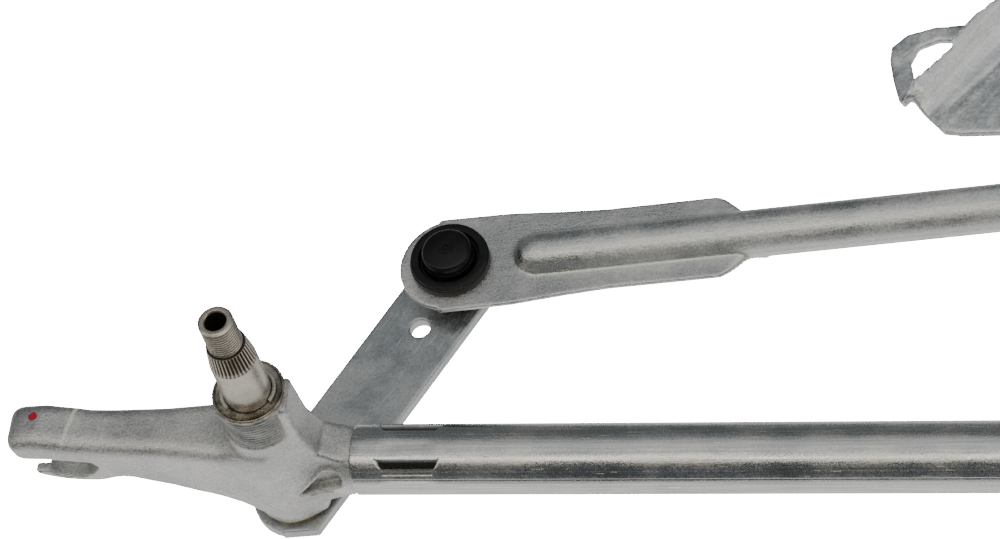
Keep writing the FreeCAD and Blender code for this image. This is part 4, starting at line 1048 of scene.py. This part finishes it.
def gear_pot(x, y, z):
    """Union of the pot, its rim, twelve ribs, the worm tunnel and its flange, the shaft neck with
    gussets and the bosses, less the wheel's room, the worm's bore, the shaft's and the screws'."""
    across, over = x - CRANK[0], y - CRANK[1]
    about, turn_at = np.hypot(across, over), np.arctan2(over, across)
    along = np.hypot(y - CAN[1], z - WORM_UP)
    draft = 0.02 * (POT_HIGH - z)
    pot = both(about - POT + draft + 0.9, span(z, POT_LOW, POT_HIGH), 1.6)
    rim = both(about - POT, span(z, POT_HIGH - 4, POT_HIGH), 0.6)
    rib = both(np.maximum(about - POT + 0.2 + draft, 30 - about),
               off_spoke(turn_at, about, TWELFTH) - 0.9, 0.7)
    rib = np.maximum(rib, span(z, POT_LOW - 1.6, POT_HIGH - 2))
    tunnel = both(along - TUNNEL, span(x, CRANK[0] - 37.9, CAN_START - 1), 1.6)
    flange = both(along - FLANGE, span(x, CAN_START - 4, CAN_START), 0.8)
    neck = both(about - NECK_OUT + 0.3 - 0.03 * z, span(z, 0, POT_FLOOR), 0.8)
    gusset = np.maximum(off_spoke(turn_at, about, SIXTH) - 1.1, span(z, 14, 20))
    gusset = np.maximum(gusset, about - NECK_OUT - (z - 14) * 2.2)
    solid = least(least(least(pot, rib, 1.0), rim, 1.0), least(tunnel, flange, 2.0), 3.0)
    solid = least(solid, least(neck, gusset, 1.0), 1.5)
    for boss_x, boss_y in BOSSES:
        boss = both(np.hypot(x - boss_x, y - boss_y) - BOSS, span(z, PLATE_TOP, 30), 1.0)
        solid = least(solid, boss, 2.5)
    solid = np.maximum(solid, -np.maximum(about - POT_INSIDE, POT_FLOOR - z))
    solid = np.maximum(solid, -np.maximum(along - WORM_BORE, CRANK[0] - POT_INSIDE - x))
    for boss_x, boss_y in BOSSES:
        hole = np.hypot(x - boss_x, y - boss_y) - BOSS_BORE
        solid = np.maximum(solid, -np.maximum(hole, z - 25.5))
    solid = without(solid, about - SHAFT_BORE, 0.3)
    return np.maximum(solid, PLATE_TOP - z - np.where(about < 20, 99, 0))


cast_case = metal("cast_case", (0.46, 0.46, 0.455), (0.64, 0.64, 0.63), 0.44, patch=60, grain=1500,
                  grit=0.4, relief=0.08)
pot_shell = net(gear_pot, (CRANK[0] - 51, -22, -1), (CAN_START + 1, 88, 61.5), 0.8)
pot = piece("cast_gear_case", [placed(pot_shell, 0, 0, AXIS)], cast_case, 50)
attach(pot, "frame")
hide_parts("gear_case")


def hexagon(angle, flats):
    """A hexagon's radius: half its width over the cosine of the angle to the nearest flat."""
    corner = np.pi / 3
    return flats / 2 / np.cos((angle + corner / 2) % corner - corner / 2)


def hex_turned(profile, flats):
    """Lathe whose radius is never more than a hexagon's, where the profile's third value is 1."""
    angle, rows = once_round(144), np.array(profile, float)
    radius = np.where(rows[:, 2:] > 0, np.minimum(rows[:, :1], hexagon(angle, flats)), rows[:, :1])
    return skin(about_z(radius, rows[:, 1:2], angle))


screw_zinc = metal("screw_zinc", (0.46, 0.45, 0.36), (0.66, 0.65, 0.56), 0.3, grain=2600, patch=200)
head = [(0.1, -4.0, 0), (3.4, -4.0, 0), (3.7, -4.2, 0), (4.6, -4.2, 1), (5.3, -3.7, 1),
        (5.35, -1.6, 1), (5.35, -1.5, 0), (5.5, -1.3, 0), (5.5, -0.1, 0), (5.3, 0, 0), (2.95, 0, 0)]
rise = np.linspace(PLATE + 0.3, 12.0, 70)
worn = 2.6 + 0.36 * np.abs(1 - 2 * (rise % 1.0))
head += [(radius, height, 0) for radius, height in zip(worn, rise)]
head += [(2.3, 13.0, 0), (0.1, 13.4, 0)]
screw_shell = hex_turned(head, 9.0)
for number, (boss_x, boss_y) in enumerate(BOSSES, start=1):
    screw = piece("hex_screw_%d" % number,
                  [placed(screw_shell, boss_x, boss_y, AXIS + TUBE, 17.0 * number)], screw_zinc, 30)
    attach(screw, "frame")
    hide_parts("bracket_screw_%d" % number)


# ---- gear lid and connector ----------------------------------------------------------------
# Moulded cover snapped into the pot with a raised plateau, radial ribs and six lugs; the plug
# shroud is moulded on top of it, with keying ribs inside and four tinned blades.

LID, LID_RIM, LID_TALL = 37.6, 36.8, 2.9
PLUG_LOW, PLUG_HIGH = (np.array(corner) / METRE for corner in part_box("connector"))


def moulded_lid(x, y, z):
    """Disc with a raised middle, twelve low ribs, a rolled edge and six lugs over the pot's rim."""
    about, turn_at = np.hypot(x, y), np.arctan2(y, x)
    disc = both(about - LID, span(z, 0, 1.8), 0.8)
    middle = both(about - 24 + (z - 1.8) * 0.6, span(z, 0, 3.0), 0.8)
    rib = np.maximum(off_spoke(turn_at, about, TWELFTH) - 0.8, span(about, 8, 36.6))
    rib = both(rib, span(z, 0, LID_TALL), 0.6)
    edge = both(np.abs(about - LID_RIM) - 1.1, span(z, 0, LID_TALL), 0.8)
    lug = off_spoke(turn_at + 0.26, about, SIXTH) - 4
    lug = both(np.maximum(lug, np.abs(about - 38.3) - 0.8), span(z, -6, 2.4), 0.7)
    return least(least(least(disc, middle, 0.5), rib, 0.5), least(edge, lug, 0.5), 0.5)


lid_shell = net(moulded_lid, (-40.5, -40.5, -7), (40.5, 40.5, 4), (0.7, 0.7, 0.45))
lid = piece("moulded_gear_lid", [placed(lid_shell, CRANK[0], CRANK[1], LID_LOW)], socket_black, 40)
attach(lid, "frame")
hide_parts("gear_lid")


def plug_shroud(x, y, z):
    """Rounded box with an open mouth towards -X, two keying ribs, a latch and a stiffening band."""
    deep, wide, tall = PLUG_HIGH - PLUG_LOW
    side, high = np.abs(y) - wide / 2 + 0.5, np.abs(z) - tall / 2 + 0.5
    shell = both(both(side, high, 2.5), span(x, 0, deep), 0.6)
    band = both(both(side - 0.5, high - 0.5, 2.5), np.abs(x - 12) - 1.2, 0.5)
    inside = both(np.abs(y) - wide / 2 + 2.0, np.abs(z) - tall / 2 + 2.0, 1.5)
    inside = np.maximum(inside, span(x, -2, deep - 8.0))
    key = np.maximum(np.abs(np.abs(y) - 5.0) - 0.7, tall / 2 - 3.2 - z)
    latch = both(np.maximum(np.abs(y) - 3.0, np.abs(x - 7) - 2.0), np.abs(z) - tall / 2, 0.6)
    return without(least(least(shell, band, 0.4), latch, 0.4), without(inside, key, 0.3), 0.3)


plug_shell = net(plug_shroud, (-1, -11, -9), (29, 11, 9), 0.45)
plug_at = (PLUG_LOW + PLUG_HIGH) / 2
plug = piece("plug_shroud", [placed(plug_shell, PLUG_LOW[0], plug_at[1], plug_at[2])],
             socket_black, 40)
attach(plug, "frame")
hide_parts("connector")

BLADE_LONG, BLADE_WIDE, BLADE_THICK, BLADE_IN = 12.0, 2.2, 0.8, 9.0
BLADE_ROW = (-6.0, -2.0, 2.0, 6.0)


def blade(x, y, z):
    """A flat bar along X with rounded ends."""
    bar = both(np.abs(y) - BLADE_WIDE / 2, np.abs(z) - BLADE_THICK / 2, 0.2)
    return both(bar, span(x, 0, BLADE_LONG), 0.9)


blade_shell = net(blade, (-0.5, -1.5, -0.8), (12.5, 1.5, 0.8), 0.2)
tin = metal("tin", (0.66, 0.66, 0.64), (0.78, 0.78, 0.76), 0.25, grain=4000, grit=0.1)
blade_x = PLUG_LOW[0] + BLADE_IN
blades = piece("plug_blades", [placed(blade_shell, blade_x, plug_at[1] + off, plug_at[2])
                               for off in BLADE_ROW], tin, 40)
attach(blades, "frame")


# ---- motor can -----------------------------------------------------------------------------
# Deep drawn steel can, black electrocoated, with a bearing cup in its closed end, two crimped
# grooves over the magnets and a turned-out lip that sits on the gear case's flange.

CAN_LIP, CAN_SKIN, CAN_GROOVE, CAN_INSIDE, CAN_FLAT = 27.0, 26.6, 26.1, 25.4, 26.0


def drawn_can():
    """Revolved closed profile of the can, inside and out, turned from Z to X.  Two long shallow
    flats are pressed into the sides: the radius is held under a limit over the cosine of angle."""
    long = CAN_END - CAN_START
    profile = eased([
        (CAN_INSIDE, 0.0, 0.1), (CAN_LIP, 0.0, 0.3), (CAN_LIP, 1.6, 0.3), (CAN_SKIN, 2.2, 0.4),
        (CAN_SKIN, 17.2, 0.5), (CAN_GROOVE, 18.0, 0.5), (CAN_GROOVE, 19.4, 0.5),
        (CAN_SKIN, 20.2, 0.5), (CAN_SKIN, 67.2, 0.5), (CAN_GROOVE, 68.0, 0.5),
        (CAN_GROOVE, 69.4, 0.5), (CAN_SKIN, 70.2, 0.5), (CAN_SKIN, long - 5, 3.5),
        (22.5, long - 2.4, 3.0), (11.5, long - 2.2, 0.8), (9.6, long - 0.2, 0.8),
        (6.0, long, 0.8), (4.6, long - 1.2, 0.6), (0.1, long - 1.3, 0),
        (0.1, long - 2.9, 0), (9.0, long - 2.9, 0.5), (10.6, long - 4.0, 0.6),
        (22.0, long - 4.2, 2.5), (CAN_INSIDE, long - 7, 2.0)], True)
    angle = once_round(192)
    radius, out = profile[:, :1] + 0 * angle, profile[:, 1:] + 0 * angle
    flat = CAN_FLAT / np.maximum(np.abs(np.cos(angle)), 0.5)
    middle = bump_to(out, 24, 2, 64, 2) * (radius > CAN_GROOVE + 0.1)
    radius = radius - middle * np.clip(radius - flat, 0, 1)
    return skin(np.stack([out, radius * np.cos(angle), radius * np.sin(angle)], -1), True)


black_can = metal("black_can", (0.012, 0.012, 0.013), (0.03, 0.03, 0.032), 0.36, metallic=0.0,
                  grain=900, grit=0.2, scratch=0.1, relief=0.03)
can = piece("drawn_motor_can", [placed(drawn_can(), CAN_START, CAN[1], CAN[2])], black_can, 40)
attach(can, "frame")
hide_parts("motor_can")


# ---- inside the motor ----------------------------------------------------------------------
# Ferrite magnets, a phenolic brush board, an armature of enamelled windings on stacked steel, a
# copper commutator, and a steel worm that drives a moulded nylon wheel.

def dull(name, deep, pale, rough, scale=400.0, metallic=0.0):
    """A plain finish: two colours mixed by a cloudy noise, with a faint relief."""
    material, tree, shader = new_material(name)
    place = node(tree, "ShaderNodeTexCoord").outputs["Object"]
    cloud = node(tree, "ShaderNodeTexNoise", {"Vector": place, "Scale": scale, "Detail": 4.0})
    share = ramp(tree, cloud.outputs[0], 0.3, 0.7)
    bump = node(tree, "ShaderNodeBump", {"Height": share, "Distance": 0.00003})
    tree.links.new(mixed(tree, share, (*deep, 1), (*pale, 1)), shader.inputs["Base Color"])
    tree.links.new(bump.outputs[0], shader.inputs["Normal"])
    shader.inputs["Roughness"].default_value = rough
    shader.inputs["Metallic"].default_value = metallic
    return material


shaft_steel = metal("shaft_steel", (0.50, 0.50, 0.49), (0.64, 0.64, 0.62), 0.25, grain=3500,
                    grit=0.15, drawn=0.2)
for name, material in (
        ("magnet_ring", dull("ferrite", (0.03, 0.03, 0.033), (0.07, 0.07, 0.074), 0.7)),
        ("brush_holder", dull("brush_plastic", (0.16, 0.09, 0.04), (0.26, 0.16, 0.07), 0.5)),
        ("armature_core",
         dull("core_steel", (0.16, 0.10, 0.07), (0.34, 0.33, 0.32), 0.45, 900, 0.8)),
        ("commutator", dull("copper", (0.60, 0.30, 0.18), (0.80, 0.48, 0.32), 0.3, 900, 1.0)),
        ("worm_wheel", dull("gear_nylon", (0.70, 0.68, 0.58), (0.80, 0.78, 0.70), 0.45)),
        ("worm", shaft_steel), ("armature_shaft", shaft_steel), ("output_shaft", shaft_steel)):
    nodes[name].data.materials[0] = material


# ---- crank nut -----------------------------------------------------------------------------
# Zinc plated hexagon nut with chamfered corners, which clamps the crank on the output shaft.

NUT_LOW, NUT_HIGH = (corner[2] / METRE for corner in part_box("crank_nut"))
NUT_TALL, NUT_FLATS, NUT_BORE, CHAMFER = NUT_HIGH - NUT_LOW, 13.0, 4.02, 0.75


def hex_nut():
    """Closed ring: hexagon outside, chamfered where a cone trims its corners, bore inside."""
    angle = once_round(144)
    rows = np.array([(NUT_BORE, 0.6), (4.6, 0), (6.3, 0), (7.6, CHAMFER),
                     (7.6, NUT_TALL - CHAMFER), (6.3, NUT_TALL), (4.6, NUT_TALL),
                     (NUT_BORE, NUT_TALL - 0.6)])
    radius = np.minimum(rows[:, :1], hexagon(angle, NUT_FLATS))
    return skin(about_z(radius, rows[:, 1:], angle), True)


nut = piece("hexagon_nut", [placed(hex_nut(), CRANK[0], CRANK[1], NUT_LOW, 12.0)], screw_zinc, 20)
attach(nut, "crank")
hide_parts("crank_nut")
